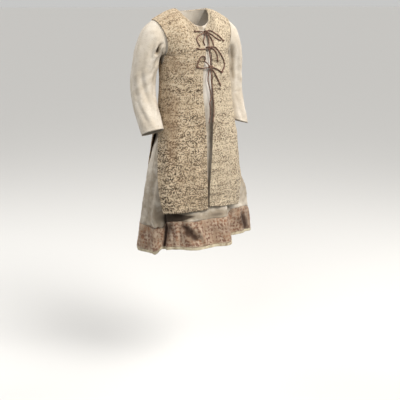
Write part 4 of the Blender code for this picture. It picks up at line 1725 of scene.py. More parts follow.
def smooth_route(points: Sequence[Vector], steps: int = 24) -> list[Vector]:
    """Returns closely spaced points along a smooth curve through a route's points.

    Args:
        points: Points of the route.
        steps: Points in each of its parts.

    Returns:
        The dense line.
    """
    dense = []
    padded = [points[0], *points, points[-1]]
    for before, start, end, after in zip(padded, padded[1:], padded[2:], padded[3:]):
        for index in range(steps):
            t = index / steps
            dense.append(
                0.5
                * (
                    2.0 * start
                    + (end - before) * t
                    + (2.0 * before - 5.0 * start + 4.0 * end - after) * t * t
                    + (3.0 * start - 3.0 * end + after - before) * t * t * t
                )
            )
    dense.append(points[-1].copy())
    return dense


def even_points(dense: Sequence[Vector], step: float) -> list[Vector]:
    """Returns points spread evenly along a dense line, with both its ends.

    Args:
        dense: Closely spaced points.
        step: Wanted distance.

    Returns:
        The points.
    """
    lengths = np.cumsum([0.0] + [(b - a).length for a, b in zip(dense, dense[1:])])
    count = max(2, round(lengths[-1] / step) + 1)
    wanted = np.linspace(0.0, lengths[-1], count)
    columns = [np.interp(wanted, lengths, [point[axis] for point in dense]) for axis in range(3)]
    return [Vector(point) for point in zip(*columns)]


# Main creases. Turns are degrees round the body from the middle of the face; on a sleeve they
# are degrees round the arm: 0 outside, 90 in front, 180 towards the body.
DRESS_FRONT_CREASES = table(
    Crease,
    (3, -0.42, 7, -0.7, 0.014, 0.005), (-73.5, -0.74, -71.4, -0.785, 0.0045, 0.0035),
    (-68.8, -0.79, -69.4, -0.74, 0.005, -0.0045), (84, -0.66, 84, -0.745, 0.026, 0.0075),
    (-92, -0.742, -82, -0.79, 0.006, 0.0045), (-88, -0.5, -94, -0.76, 0.014, 0.004),
    (-80, -0.56, -86, -0.75, 0.01, -0.004), (-98, -0.6, -100, -0.8, 0.012, -0.003),
    (-60, -0.7, -56, -0.79, 0.01, 0.004), (-40, -0.68, -38, -0.78, 0.01, -0.003),
    (-14, -0.66, -16, -0.78, 0.012, 0.004), (2, -0.68, 4, -0.78, 0.01, -0.003),
    (40, -0.7, 37, -0.78, 0.009, 0.005), (62, -0.64, 70, -0.79, 0.012, -0.004),
    (79, -0.7, 82, -0.76, 0.006, -0.006), (88, -0.58, 92, -0.78, 0.012, 0.004),
)
DRESS_BACK_CREASES = table(
    Crease,
    (-80, -0.55, -86, -0.78, 0.012, 0.004), (-60, -0.6, -52, -0.79, 0.011, -0.004),
    (-34, -0.66, -38, -0.79, 0.012, 0.004), (-10, -0.7, -6, -0.79, 0.01, -0.003),
    (14, -0.68, 18, -0.79, 0.012, 0.004), (38, -0.68, 34, -0.79, 0.01, -0.003),
    (62, -0.58, 56, -0.79, 0.012, 0.004), (84, -0.52, 88, -0.79, 0.011, -0.004),
)
BAND_FRONT_CREASES = table(
    Crease,
    (-46, -0.778, -28, -0.838, 0.011, -0.006), (-30, -0.772, -20, -0.85, 0.006, 0.007),
    (-54, -0.778, -53, -0.866, 0.006, 0.0045), (-62, -0.78, -62, -0.86, 0.008, -0.003),
    (-74, -0.892, -71.8, -0.84, 0.0045, 0.005), (-71.8, -0.84, -71.6, -0.785, 0.0045, 0.005),
    (-69.6, -0.875, -68.8, -0.79, 0.004, -0.0045), (-92, -0.82, -84, -0.91, 0.01, 0.004),
    (-100, -0.82, -96, -0.9, 0.008, -0.003), (-10, -0.775, -8, -0.85, 0.01, -0.003),
    (4, -0.775, 8, -0.85, 0.012, 0.003), (22, -0.78, 19, -0.86, 0.01, -0.004),
    (67, -0.79, 71, -0.88, 0.008, -0.006), (86, -0.79, 88, -0.88, 0.01, 0.004),
    (60, -0.79, 64, -0.87, 0.01, 0.003),
)
BAND_BACK_CREASES = table(
    Crease,
    (-82, -0.8, -86, -0.88, 0.01, 0.004), (-54, -0.79, -48, -0.88, 0.009, -0.004),
    (-30, -0.8, -34, -0.88, 0.01, 0.004), (-4, -0.79, -8, -0.88, 0.009, -0.003),
    (20, -0.8, 26, -0.88, 0.01, 0.004), (48, -0.8, 44, -0.89, 0.009, -0.004),
    (76, -0.8, 80, -0.89, 0.01, 0.004),
)
SLEEVE_RIGHT_CREASES = table(
    Crease,
    (99, -0.1, 98, -0.13, 0.0062, -0.0115), (84, -0.096, 84, -0.138, 0.0055, 0.003),
    (70, -0.085, 82, -0.165, 0.008, -0.0036), (112, -0.128, 84, -0.172, 0.0065, 0.0034),
    (122, -0.15, 96, -0.205, 0.006, -0.003), (112, -0.19, 118, -0.29, 0.008, -0.0038),
    (46, -0.2, 84, -0.34, 0.011, -0.0034), (66, -0.2, 104, -0.33, 0.009, 0.003),
    (20, -0.12, 34, -0.25, 0.012, 0.0026), (12, -0.23, 40, -0.37, 0.011, -0.0032),
    (30, -0.3, 76, -0.4, 0.01, 0.003), (118, -0.3, 96, -0.38, 0.008, 0.0026),
    (150, -0.16, 160, -0.25, 0.009, -0.004), (190, -0.24, 260, -0.29, 0.008, -0.0042),
    (180, -0.27, 250, -0.33, 0.008, 0.0036), (200, -0.31, 270, -0.34, 0.0075, -0.0034),
    (250, -0.1, 230, -0.2, 0.009, -0.0036), (290, -0.09, 280, -0.22, 0.011, 0.0032),
    (320, -0.15, 300, -0.3, 0.011, -0.0028),
)
SLEEVE_LEFT_CREASES = table(
    Crease,
    (126, -0.11, 118, -0.25, 0.007, -0.004), (100, -0.09, 106, -0.2, 0.009, 0.0024),
    (78, -0.294, 122, -0.298, 0.004, -0.0016), (84, -0.15, 92, -0.3, 0.012, -0.0018),
    (60, -0.12, 64, -0.34, 0.013, 0.0022), (110, -0.31, 96, -0.4, 0.01, -0.0022),
    (74, -0.32, 66, -0.41, 0.01, 0.002), (24, -0.14, 36, -0.3, 0.012, -0.0026),
    (160, -0.17, 166, -0.3, 0.009, -0.0036), (196, -0.25, 262, -0.29, 0.008, -0.0034),
    (190, -0.29, 250, -0.32, 0.008, 0.003), (250, -0.11, 236, -0.21, 0.009, -0.0034),
    (300, -0.1, 290, -0.26, 0.012, 0.0028), (330, -0.2, 316, -0.36, 0.011, -0.0024),
)
TUNIC_RIGHT_CREASES = table(
    Crease,
    (-82, -0.118, -44, -0.122, 0.0045, -0.001), (-78, -0.18, -60, -0.42, 0.018, 0.002),
    (-50, -0.22, -40, -0.48, 0.02, -0.001), (-66, -0.46, -58, -0.72, 0.016, 0.0035),
    (-44, -0.48, -42, -0.72, 0.018, -0.003), (-28, -0.43, -30, -0.72, 0.02, 0.004),
    (-52, -0.64, -50, -0.725, 0.01, 0.003), (-20, -0.6, -17, -0.72, 0.01, -0.0025),
)
TUNIC_LEFT_CREASES = table(
    Crease,
    (70, -0.16, 62, -0.38, 0.016, 0.002), (44, -0.25, 42, -0.52, 0.02, -0.001),
    (24, -0.4, 20, -0.71, 0.018, 0.0035), (8, -0.5, 4, -0.71, 0.014, -0.0025),
    (46, -0.56, 40, -0.72, 0.016, 0.004), (62, -0.48, 52, -0.7, 0.014, -0.003),
)
TUNIC_BACK_CREASES = table(
    Crease,
    (-60, -0.14, -30, -0.26, 0.016, 0.002), (60, -0.14, 32, -0.27, 0.016, 0.002),
    (-50, -0.42, -44, -0.72, 0.018, 0.004), (-26, -0.46, -22, -0.72, 0.018, -0.003),
    (-4, -0.38, -2, -0.72, 0.02, 0.004), (22, -0.44, 20, -0.72, 0.018, -0.003),
    (44, -0.42, 42, -0.72, 0.018, 0.004),
)

# Patches of tone, in the same turns. Some are wear and stain; painted shade, and painted light
# below zero, is named above its row
DRESS_FRONT_BLOTS = table(
    Blot,
    # Greyer flap side, partly grey cloth and partly painted shade; then painted shadow under the
    # tunic's hem
    (-95, -0.66, 22, 0.16, 0.62), (-92, -0.5, 12, 0.05, 0.3), (-66, -0.755, 14, 0.04, 0.9),
    # Painted shadow under the tunic's hem
    (-57, -0.754, 8, 0.022, 1), (-46, -0.748, 8, 0.014, 0.9), (-36, -0.742, 9, 0.009, 0.5),
    # Painted shadow under the tunic's hem, a narrow painted shadow down the fold wall beyond the
    # flap's edge, and more under the hem
    (-18, -0.748, 22, 0.02, 0.6), (-69.2, -0.77, 1.6, 0.03, 0.95), (6, -0.748, 16, 0.024, 0.62),
    # Painted shadow under the tunic's hem, then the linen darkened on the left side, then painted
    # shade in the gap between the tunic's fronts
    (28, -0.745, 14, 0.018, 0.4), (80, -0.67, 22, 0.085, 0.6), (3, -0.43, 14, 0.07, 0.3),
    # Painted shade in the gap between the tunic's fronts, lower down and near the neck
    (3, -0.58, 14, 0.12, 0.14), (-6, -0.042, 18, 0.018, 0.66), (0, -0.09, 12, 0.03, 0.4),
    # Painted light, below zero: the shaded linen in the gap between the fronts made paler
    (4, -0.24, 12, 0.085, -1.8),
)
DRESS_BACK_BLOTS = table(
    Blot,
    (-70, -0.7, 40, 0.14, 0.55), (70, -0.7, 36, 0.14, 0.45), (0, -0.76, 50, 0.06, 0.45),
)
BAND_FRONT_BLOTS = table(
    Blot,
    (70, -0.85, 8, 0.038, 0.95), (66.5, -0.805, 7, 0.03, 0.85), (80, -0.8, 6, 0.03, 0.4),
    # Painted shadow in the hollow beside the band's diagonal fold
    (-45, -0.782, 6, 0.009, 0.85), (-39, -0.798, 8, 0.016, 0.9), (-41, -0.812, 7, 0.012, 0.5),
    # Painted shadow in that hollow, then painted shadow along the band's top seam under the linen's
    # edge
    (-31.5, -0.824, 6, 0.014, 0.95), (-93, -0.796, 9, 0.004, 0.75), (-81, -0.793, 7, 0.0045, 0.8),
    # Painted shadow along the top seam, then a narrow painted shadow down the fold wall beyond the
    # flap's edge
    (-74.5, -0.791, 4, 0.005, 0.8), (-69.2, -0.795, 1.5, 0.03, 0.95),
    # Narrow painted shadow down the fold wall, then the band darkened right of it
    (-69.4, -0.835, 1.5, 0.03, 0.95), (-70.6, -0.868, 1.4, 0.02, 0.95), (-62, -0.8, 7, 0.05, 0.48),
    (-61, -0.785, 6, 0.02, 0.4), (-92, -0.84, 6, 0.02, 0.34), (-84, -0.865, 5, 0.015, 0.45),
    (-77, -0.835, 3, 0.018, 0.4), (-10, -0.8, 18, 0.03, 0.36), (14, -0.8, 14, 0.03, 0.3),
    (50, -0.82, 12, 0.04, 0.34), (30, -0.82, 10, 0.03, 0.25),
)
BAND_BACK_BLOTS = table(
    Blot,
    (-60, -0.84, 14, 0.05, 0.6), (0, -0.82, 20, 0.04, 0.5), (50, -0.84, 14, 0.05, 0.6),
)
SLEEVE_RIGHT_BLOTS = table(
    Blot,
    # Painted shadow in the armpit hollow, then broader grey patches
    (99, -0.114, 9, 0.0155, 1), (104, -0.126, 8, 0.01, 0.6), (112, -0.23, 16, 0.07, 0.3),
    (60, -0.3, 24, 0.06, 0.18), (96, -0.43, 60, 0.012, 0.25),
)
SLEEVE_LEFT_BLOTS = table(
    Blot,
    # Painted shade on the inner side beside the tunic, then a grey band near the cuff
    (128, -0.13, 14, 0.03, 0.24), (126, -0.2, 14, 0.03, 0.34), (90, -0.4, 60, 0.02, 0.2),
)
TUNIC_RIGHT_BLOTS = table(
    Blot,
    (-70, -0.135, 16, 0.016, 0.46), (-66, -0.17, 22, 0.03, 0.5), (-44, -0.185, 24, 0.022, 0.4),
    (-78, -0.29, 15, 0.12, 0.52), (-64, -0.34, 6, 0.07, 0.4), (-64, -0.4, 10, 0.08, 0.72),
    (-60, -0.5, 8, 0.07, 0.62), (-88, 0, 30, 0.03, 0.45), (-50, -0.61, 7, 0.03, 0.6),
    (-40, -0.33, 22, 0.06, 0.25), (-36, -0.66, 12, 0.02, 0.3),
)
TUNIC_LEFT_BLOTS = table(
    Blot,
    (30, -0.36, 14, 0.03, 0.25), (20, -0.56, 12, 0.06, 0.25), (60, -0.64, 12, 0.05, 0.2),
)
TUNIC_BACK_BLOTS = table(
    Blot,
    (-50, -0.3, 20, 0.1, 0.45), (40, -0.52, 20, 0.08, 0.35), (0, -0.65, 40, 0.04, 0.3),
)

# Where the dark flecks lie closer, or, below zero, further apart; this also paints light, paler
# high up and darker at the hem
TUNIC_RIGHT_FLECKS_AND_PAINTED_LIGHT = table(
    Blot,
    (-55, -0.03, 70, 0.12, -0.95), (-70, -0.2, 30, 0.16, -0.3), (-18, -0.22, 16, 0.14, -0.6),
    (-45, -0.52, 60, 0.06, 0.35), (-45, -0.66, 70, 0.12, 0.95),
)
TUNIC_LEFT_FLECKS_AND_PAINTED_LIGHT = table(
    Blot,
    (40, -0.02, 60, 0.12, -0.25), (30, -0.26, 60, 0.12, -0.3), (30, -0.66, 60, 0.1, 0.65),
)
TUNIC_BACK_FLECKS_AND_PAINTED_LIGHT = table(
    Blot,
    (0, -0.1, 60, 0.14, -0.45), (20, -0.45, 30, 0.14, -0.3), (0, -0.69, 70, 0.07, 0.45),
)

Colour = tuple[float, float, float]


class Graph:
    """Node graph of one finish, ending in its Principled shader."""

    def __init__(self, name: str) -> None:
        """Starts a material of this name.

        Args:
            name: Name of the material.
        """
        self.material = bpy.data.materials.new(name)
        self.material.use_nodes = True
        self.tree = self.material.node_tree
        self.shader = self.tree.nodes["Principled BSDF"]

    def node(self, kind: str, settings: dict, inputs: dict) -> bpy.types.Node:
        """Adds a node.

        Args:
            kind: Type of the node.
            settings: Properties to set on it.
            inputs: Sockets by name or index, each given a value or linked to an output.

        Returns:
            The node.
        """
        node = self.tree.nodes.new(kind)
        for name, value in settings.items():
            setattr(node, name, value)
        for name, value in inputs.items():
            self.join(node.inputs[name], value)
        return node

    def join(self, socket: bpy.types.NodeSocket, value: object) -> None:
        """Links an output to a socket, or sets the socket's own value.

        Args:
            socket: Socket to fill.
            value: Output or plain value.
        """
        if isinstance(value, bpy.types.NodeSocket):
            self.tree.links.new(value, socket)
        else:
            socket.default_value = value

    def math(self, operation: str, *values: object) -> bpy.types.NodeSocket:
        """Returns the output of a Math node."""
        inputs = dict(enumerate(values))
        return self.node("ShaderNodeMath", {"operation": operation}, inputs).outputs[0]

    def mixed(self, share: object, start: object, end: object) -> bpy.types.NodeSocket:
        """Returns the output of a colour Mix node.

        Args:
            share: Share of the end colour.
            start: Colour at 0.
            end: Colour at 1.

        Returns:
            The mixed colour.
        """
        start, end = (
            (*colour, 1.0) if isinstance(colour, tuple) and len(colour) == 3 else colour
            for colour in (start, end)
        )
        node = self.node("ShaderNodeMix", {"data_type": "RGBA"}, {0: share, 6: start, 7: end})
        return node.outputs[2]

    def noise(self, place: object, scale: float, detail: float = 2.0) -> bpy.types.NodeSocket:
        """Returns the value of a Noise node."""
        inputs = {"Vector": place, "Scale": scale, "Detail": detail, "Roughness": 0.55}
        return self.node("ShaderNodeTexNoise", {}, inputs).outputs[0]

    def ramp(self, value: object, stops: Sequence[tuple[float, Colour]]) -> bpy.types.NodeSocket:
        """Returns the colour of a ramp with these stops.

        Args:
            value: Place on the ramp.
            stops: Places and colours.

        Returns:
            The colour.
        """
        node = self.node("ShaderNodeValToRGB", {}, {0: value})
        elements = node.color_ramp.elements
        while len(elements) < len(stops):
            elements.new(0.5)
        for element, (at, colour) in zip(elements, stops):
            element.position = at
            element.color = (*colour, 1.0)
        return node.outputs[0]

    def stepped(self, value: object, low: float, high: float) -> bpy.types.NodeSocket:
        """Returns 0 below low and 1 above high, eased between them.

        Args:
            value: Value to step.
            low: Where it leaves 0.
            high: Where it reaches 1.

        Returns:
            The step.
        """
        inputs = {0: value, 1: low, 2: high}
        node = self.node("ShaderNodeMapRange", {"interpolation_type": "SMOOTHSTEP"}, inputs)
        return node.outputs[0]

    def weave(self) -> tuple[bpy.types.NodeSocket, ...]:
        """Reads the cloth's own map.

        Returns:
            The place, and metres across and down.
        """
        place = self.node("ShaderNodeUVMap", {"uv_map": "weave"}, {}).outputs[0]
        parts = self.node("ShaderNodeSeparateXYZ", {}, {0: place}).outputs
        return place, parts[0], parts[1]

    def place(self, x: object, y: object, z: object = 0.0) -> bpy.types.NodeSocket:
        """Returns a vector of three values."""
        return self.node("ShaderNodeCombineXYZ", {}, {0: x, 1: y, 2: z}).outputs[0]

    def tone(self, name: str) -> bpy.types.NodeSocket:
        """Returns the strength of a tone that is painted on the cloth."""
        return self.node("ShaderNodeAttribute", {"attribute_name": name}, {}).outputs["Fac"]

    def scaled(self, value: object, factor: float) -> bpy.types.NodeSocket:
        """Returns a value times a factor."""
        return self.math("MULTIPLY", value, factor)

    def swing(self, value: object, weight: float) -> bpy.types.NodeSocket:
        """Returns how far a 0 to 1 value is from its middle, times a weight."""
        return self.scaled(self.math("SUBTRACT", value, 0.5), weight)

    def total(self, *values: object) -> bpy.types.NodeSocket:
        """Returns the sum of several values.

        Args:
            values: Outputs or numbers.

        Returns:
            The sum.
        """
        result = values[0]
        for value in values[1:]:
            result = self.math("ADD", result, value)
        return result

    def patchy(
        self, tone: object, noise: object, weight: float, low: float, high: float
    ) -> bpy.types.NodeSocket:
        """Returns where a painted tone shows: its rim is broken up by noise of this weight."""
        uneven = self.stepped(self.total(tone, self.swing(noise, weight)), low, high)
        return self.math("MULTIPLY", uneven, self.stepped(tone, 0.0, 0.3))

    def random(self, across: object, down: object) -> bpy.types.NodeSocket:
        """Returns an even random value for each pair of whole numbers."""
        settings, inputs = {"noise_dimensions": "2D"}, {"Vector": self.place(across, down)}
        return self.node("ShaderNodeTexWhiteNoise", settings, inputs).outputs[0]

    def cell_noise(
        self, across: object, down: object, wide: float, tall: float
    ) -> bpy.types.NodeSocket:
        """Returns noise whose grains are this wide across the cloth and this tall down it."""
        place = self.place(self.scaled(across, 1.0 / wide), self.scaled(down, 1.0 / tall))
        return self.noise(place, 1.0, 2.0)

    def threads(
        self, across: object, down: object, warp: float, weft: float
    ) -> bpy.types.NodeSocket:
        """Makes the height of a plain weave.

        Args:
            across: Metres across.
            down: Metres down.
            warp: Pitch across.
            weft: Pitch down.

        Returns:
            The height, from 0 to 1.
        """
        row = self.scaled(down, 1.0 / weft)
        shift = self.scaled(self.math("FLOOR", row), math.pi / 2.0)
        column = self.total(self.scaled(across, math.pi / (2.0 * warp)), shift)
        over = self.math("ABSOLUTE", self.math("SINE", column))
        ridge = self.math("ABSOLUTE", self.math("SINE", self.scaled(row, math.pi)))
        return self.math("MULTIPLY", ridge, self.total(self.scaled(over, 0.5), 0.5))

    def bump(self, height: object, strength: float, distance: float) -> None:
        """Gives the shader a bump of this height."""
        inputs = {"Height": height, "Strength": strength, "Distance": distance}
        self.join(self.shader.inputs["Normal"], self.node("ShaderNodeBump", {}, inputs).outputs[0])

    def cloth_shader(self, colour: object, roughness: float, sheen: float) -> None:
        """Gives the shader its colour, and the dull sheen of cloth.

        Args:
            colour: Colour of the cloth.
            roughness: Its roughness.
            sheen: Weight of its sheen.
        """
        self.join(self.shader.inputs["Base Color"], colour)
        self.shader.inputs["Roughness"].default_value = roughness
        self.shader.inputs["Sheen Weight"].default_value = sheen
        self.shader.inputs["Sheen Roughness"].default_value = 0.5
        self.shader.inputs["Specular IOR Level"].default_value = 0.2


@dataclass(frozen=True)
class LinenFinish:
    """Plain-woven linen, unevenly spun, greyer and crumpled with wear, darker with painted shade
    and paler with painted light where its tone says.
    """

    name: str = "linen_weave"
    clean: Colour = (0.63, 0.55, 0.44)
    bright: Colour = (0.74, 0.67, 0.57)
    # Painted light: pale colour for linen that lies in shade
    painted_light: Colour = (0.92, 0.86, 0.77)
    # Colour of darker slubs, of wear and of painted shade
    worn: Colour = (0.34, 0.275, 0.20)
    # Painted deep shadow, for the armpit hollow, the fold wall and under the tunic's hem
    deep: Colour = (0.06, 0.042, 0.028)
    warp: float = 0.0011
    weft: float = 0.0012

    def material(self) -> bpy.types.Material:
        """Returns the finish as a material.

        Returns:
            The material.
        """
        graph = Graph(self.name)
        place, across, down = graph.weave()
        cloud = graph.noise(place, 16.0, 3.0)
        colour = graph.mixed(graph.stepped(cloud, 0.36, 0.66), self.clean, self.bright)
        slubs = graph.cell_noise(across, down, 0.016, 0.0013)
        ends = graph.cell_noise(across, down, 0.0012, 0.012)
        streaks = graph.total(slubs, graph.swing(ends, 0.7))
        faint = graph.scaled(graph.stepped(streaks, 0.50, 0.78), 0.46)
        colour = graph.mixed(faint, colour, self.worn)
        # Painted tone: wear and stain, painted shade in hollows, under the tunic and between its
        # fronts, and painted light where it is below zero
        worn = graph.tone("worn")
        # Painted light where the tone is below zero
        colour = graph.mixed(graph.stepped(graph.scaled(worn, -1.0), 0.0, 1.0), colour, self.painted_light)
        # Wear and painted shade, its rim broken up by noise
        patchy = graph.patchy(worn, graph.noise(place, 42.0, 3.0), 0.9, 0.05, 0.75)
        colour = graph.mixed(patchy, colour, self.worn)
        # Painted deep shadow where the tone is strongest
        colour = graph.mixed(graph.stepped(worn, 0.72, 1.0), colour, self.deep)
        graph.cloth_shader(colour, 0.88, 0.12)
        threads = graph.threads(across, down, self.warp, self.weft)
        creased = graph.scaled(graph.noise(place, 75.0, 3.0), 2.2)
        graph.bump(graph.total(threads, graph.scaled(slubs, 1.4), creased), 0.55, 0.0005)
        return graph.material


@dataclass(frozen=True)
class TweedFinish:
    """Thick slub yarn in uneven rows: cream, tan and ochre with dark brown dashes."""

    name: str
    dark: Colour
    brown: Colour
    tan: Colour
    cream: Colour
    ochre: Colour
    stain: Colour
    darkness: float = 0.0
    yarn: float = 0.0036
    dash: float = 0.0140
    stitch: float = 0.0050
    contrast: float = 0.52

    def material(self) -> bpy.types.Material:
        """Returns the finish as a material.

        Returns:
            The material.
        """
        graph = Graph(self.name)
        place, across, down = graph.weave()
        level = graph.total(down, graph.scaled(graph.noise(place, 26.0, 1.0), 0.006))
        row = graph.math("FLOOR", graph.scaled(level, 1.0 / self.yarn))
        settings, inputs = {"noise_dimensions": "1D"}, {"W": row}
        shift = graph.node("ShaderNodeTexWhiteNoise", settings, inputs).outputs[0]
        along = graph.total(graph.scaled(across, 1.0 / self.dash), graph.scaled(shift, 90.0))
        dashes = graph.noise(graph.place(along, graph.scaled(row, 3.7)), 1.0, 1.5)
        runs = graph.noise(graph.place(graph.scaled(along, 0.2), graph.scaled(row, 5.3)), 1.0, 1.0)
        stitch = graph.math("FLOOR", graph.total(graph.scaled(across, 1.0 / self.stitch), along))
        picks = graph.random(stitch, row)
        clumps = graph.cell_noise(across, down, 0.030, 0.010)
        bands = graph.cell_noise(across, down, 0.200, 0.022)
        specks = graph.cell_noise(across, down, 0.0050, 0.0022)
        # Density of dark flecks, and painted light: paler high up, darker at the hem
        flecks = graph.tone("flecks")
        liveliness = graph.total(1.0, graph.scaled(flecks, 0.5))
        shade = graph.total(
            0.54 - self.darkness,
            graph.swing(dashes, 0.40),
            graph.swing(runs, 0.62),
            graph.swing(clumps, 0.36),
            graph.swing(bands, 0.66),
            graph.swing(specks, 0.20),
            graph.math("MULTIPLY", graph.swing(picks, self.contrast), liveliness),
        )
        uneven = graph.noise(place, 60.0, 3.0)
        stained = graph.patchy(graph.tone("stain"), uneven, 0.9, 0.1, 0.9)
        shade = graph.total(shade, graph.swing(flecks, -0.20), graph.scaled(stained, -0.05))
        stops = (
            (0.10, self.dark),
            (0.29, self.brown),
            (0.47, self.tan),
            (0.64, self.cream),
            (0.73, self.ochre),
            (0.82, self.cream),
        )
        colour = graph.ramp(shade, stops)
        drift = graph.scaled(graph.stepped(graph.noise(place, 9.0, 2.0), 0.40, 0.66), 0.25)
        colour = graph.mixed(drift, colour, self.ochre)
        colour = graph.mixed(graph.scaled(stained, 0.36), colour, self.stain)
        graph.cloth_shader(colour, 0.92, 0.1)
        threads = graph.threads(across, level, 0.0030, self.yarn)
        height = graph.total(threads, graph.scaled(dashes, 1.0), graph.scaled(specks, 0.5))
        graph.bump(height, 0.85, 0.0016)
        return graph.material


@dataclass(frozen=True)
class BandFinish:
    """Worn block-printed band: small rust sprigs in rows on a paler pinkish ground."""

    name: str = "rust_print"
    ground: Colour = (0.37, 0.255, 0.170)
    pale: Colour = (0.54, 0.415, 0.305)
    rust: Colour = (0.175, 0.082, 0.052)
    orange: Colour = (0.30, 0.150, 0.080)
    # Colour of wear and of painted shadow
    dark: Colour = (0.060, 0.032, 0.020)
    repeat: float = 0.0150

    def material(self) -> bpy.types.Material:
        """Returns the finish as a material.

        Returns:
            The material.
        """
        graph = Graph(self.name)
        place, across, down = graph.weave()
        wander = graph.swing(graph.noise(place, 45.0, 2.0), 0.016)
        sway = graph.swing(graph.noise(place, 61.0, 2.0), 0.014)
        spot = graph.place(graph.total(across, wander), graph.total(down, sway))
        inputs = {"Vector": spot, "Scale": 1.0 / self.repeat, "Randomness": 0.35}
        middle = graph.node("ShaderNodeTexVoronoi", {"voronoi_dimensions": "2D"}, inputs).outputs[0]
        inputs = {"Vector": spot, "Scale": 2.6 / self.repeat, "Randomness": 0.7}
        petals = graph.node("ShaderNodeTexVoronoi", {"voronoi_dimensions": "2D"}, inputs).outputs[0]
        sprig = graph.math("SUBTRACT", 0.52, graph.total(middle, graph.scaled(petals, 0.45)))
        rubbed = graph.noise(place, 120.0, 3.0)
        broad = graph.noise(place, 26.0, 2.0)
        print_ink = graph.total(sprig, graph.swing(rubbed, 1.5), graph.swing(broad, 1.2))
        printed = graph.stepped(print_ink, -0.20, 0.24)
        cloud = graph.stepped(graph.noise(place, 24.0, 3.0), 0.35, 0.65)
        ground = graph.mixed(cloud, self.ground, self.pale)
        ink_cloud = graph.stepped(graph.noise(place, 34.0, 2.0), 0.42, 0.66)
        ink = graph.mixed(ink_cloud, self.rust, self.orange)
        colour = graph.mixed(graph.scaled(printed, 0.88), ground, ink)
        # Wear and painted shadow, from the painted tone
        worn = graph.patchy(graph.tone("worn"), graph.noise(place, 70.0, 3.0), 0.7, 0.1, 1.1)
        colour = graph.mixed(worn, colour, self.dark)
        graph.cloth_shader(colour, 0.9, 0.1)
        threads = graph.threads(across, down, 0.0012, 0.0013)
        graph.bump(graph.total(threads, graph.scaled(rubbed, 1.6)), 0.6, 0.0005)
        return graph.material


@dataclass(frozen=True)
class BindingFinish:
    """Pale twill binding, yellowed and lightly soiled."""

    name: str = "pale_twill"
    clean: Colour = (0.62, 0.54, 0.38)
    soiled: Colour = (0.36, 0.26, 0.16)
    rib: float = 0.0016

    def material(self) -> bpy.types.Material:
        """Returns the finish as a material.

        Returns:
            The material.
        """
        graph = Graph(self.name)
        place, across, down = graph.weave()
        soil = graph.stepped(graph.noise(place, 60.0, 3.0), 0.46, 0.75)
        colour = graph.mixed(soil, self.clean, self.soiled)
        graph.cloth_shader(colour, 0.88, 0.1)
        slant = graph.scaled(graph.total(across, down), math.tau / self.rib)
        graph.bump(graph.math("SINE", slant), 0.4, 0.00025)
        return graph.material


@dataclass(frozen=True)
class LeatherFinish:
    """Reddish brown leather thong with a fine grain and rubbed lighter spots."""

    name: str = "thong_leather"
    deep: Colour = (0.105, 0.052, 0.034)
    rubbed: Colour = (0.27, 0.155, 0.105)

    def material(self) -> bpy.types.Material:
        """Returns the finish as a material.

        Returns:
            The material.
        """
        graph = Graph(self.name)
        place = graph.node("ShaderNodeTexCoord", {}, {}).outputs["Object"]
        spots = graph.stepped(graph.noise(place, 130.0, 3.0), 0.42, 0.66)
        graph.join(graph.shader.inputs["Base Color"], graph.mixed(spots, self.deep, self.rubbed))
        graph.shader.inputs["Roughness"].default_value = 0.6
        graph.shader.inputs["Specular IOR Level"].default_value = 0.35
        graph.bump(graph.noise(place, 900.0, 3.0), 0.5, 0.0003)
        return graph.material


@dataclass(frozen=True)
class ThreadFinish:
    """Waxed linen sewing thread."""

    name: str = "sewing_thread"
    light: Colour = (0.60, 0.50, 0.36)
    dull: Colour = (0.36, 0.28, 0.19)

    def material(self) -> bpy.types.Material:
        """Returns the finish as a material.

        Returns:
            The material.
        """
        graph = Graph(self.name)
        place = graph.node("ShaderNodeTexCoord", {}, {}).outputs["Object"]
        colour = graph.mixed(graph.noise(place, 90.0, 2.0), self.dull, self.light)
        graph.cloth_shader(colour, 0.8, 0.1)
        graph.bump(graph.noise(place, 1500.0, 2.0), 0.4, 0.0001)
        return graph.material


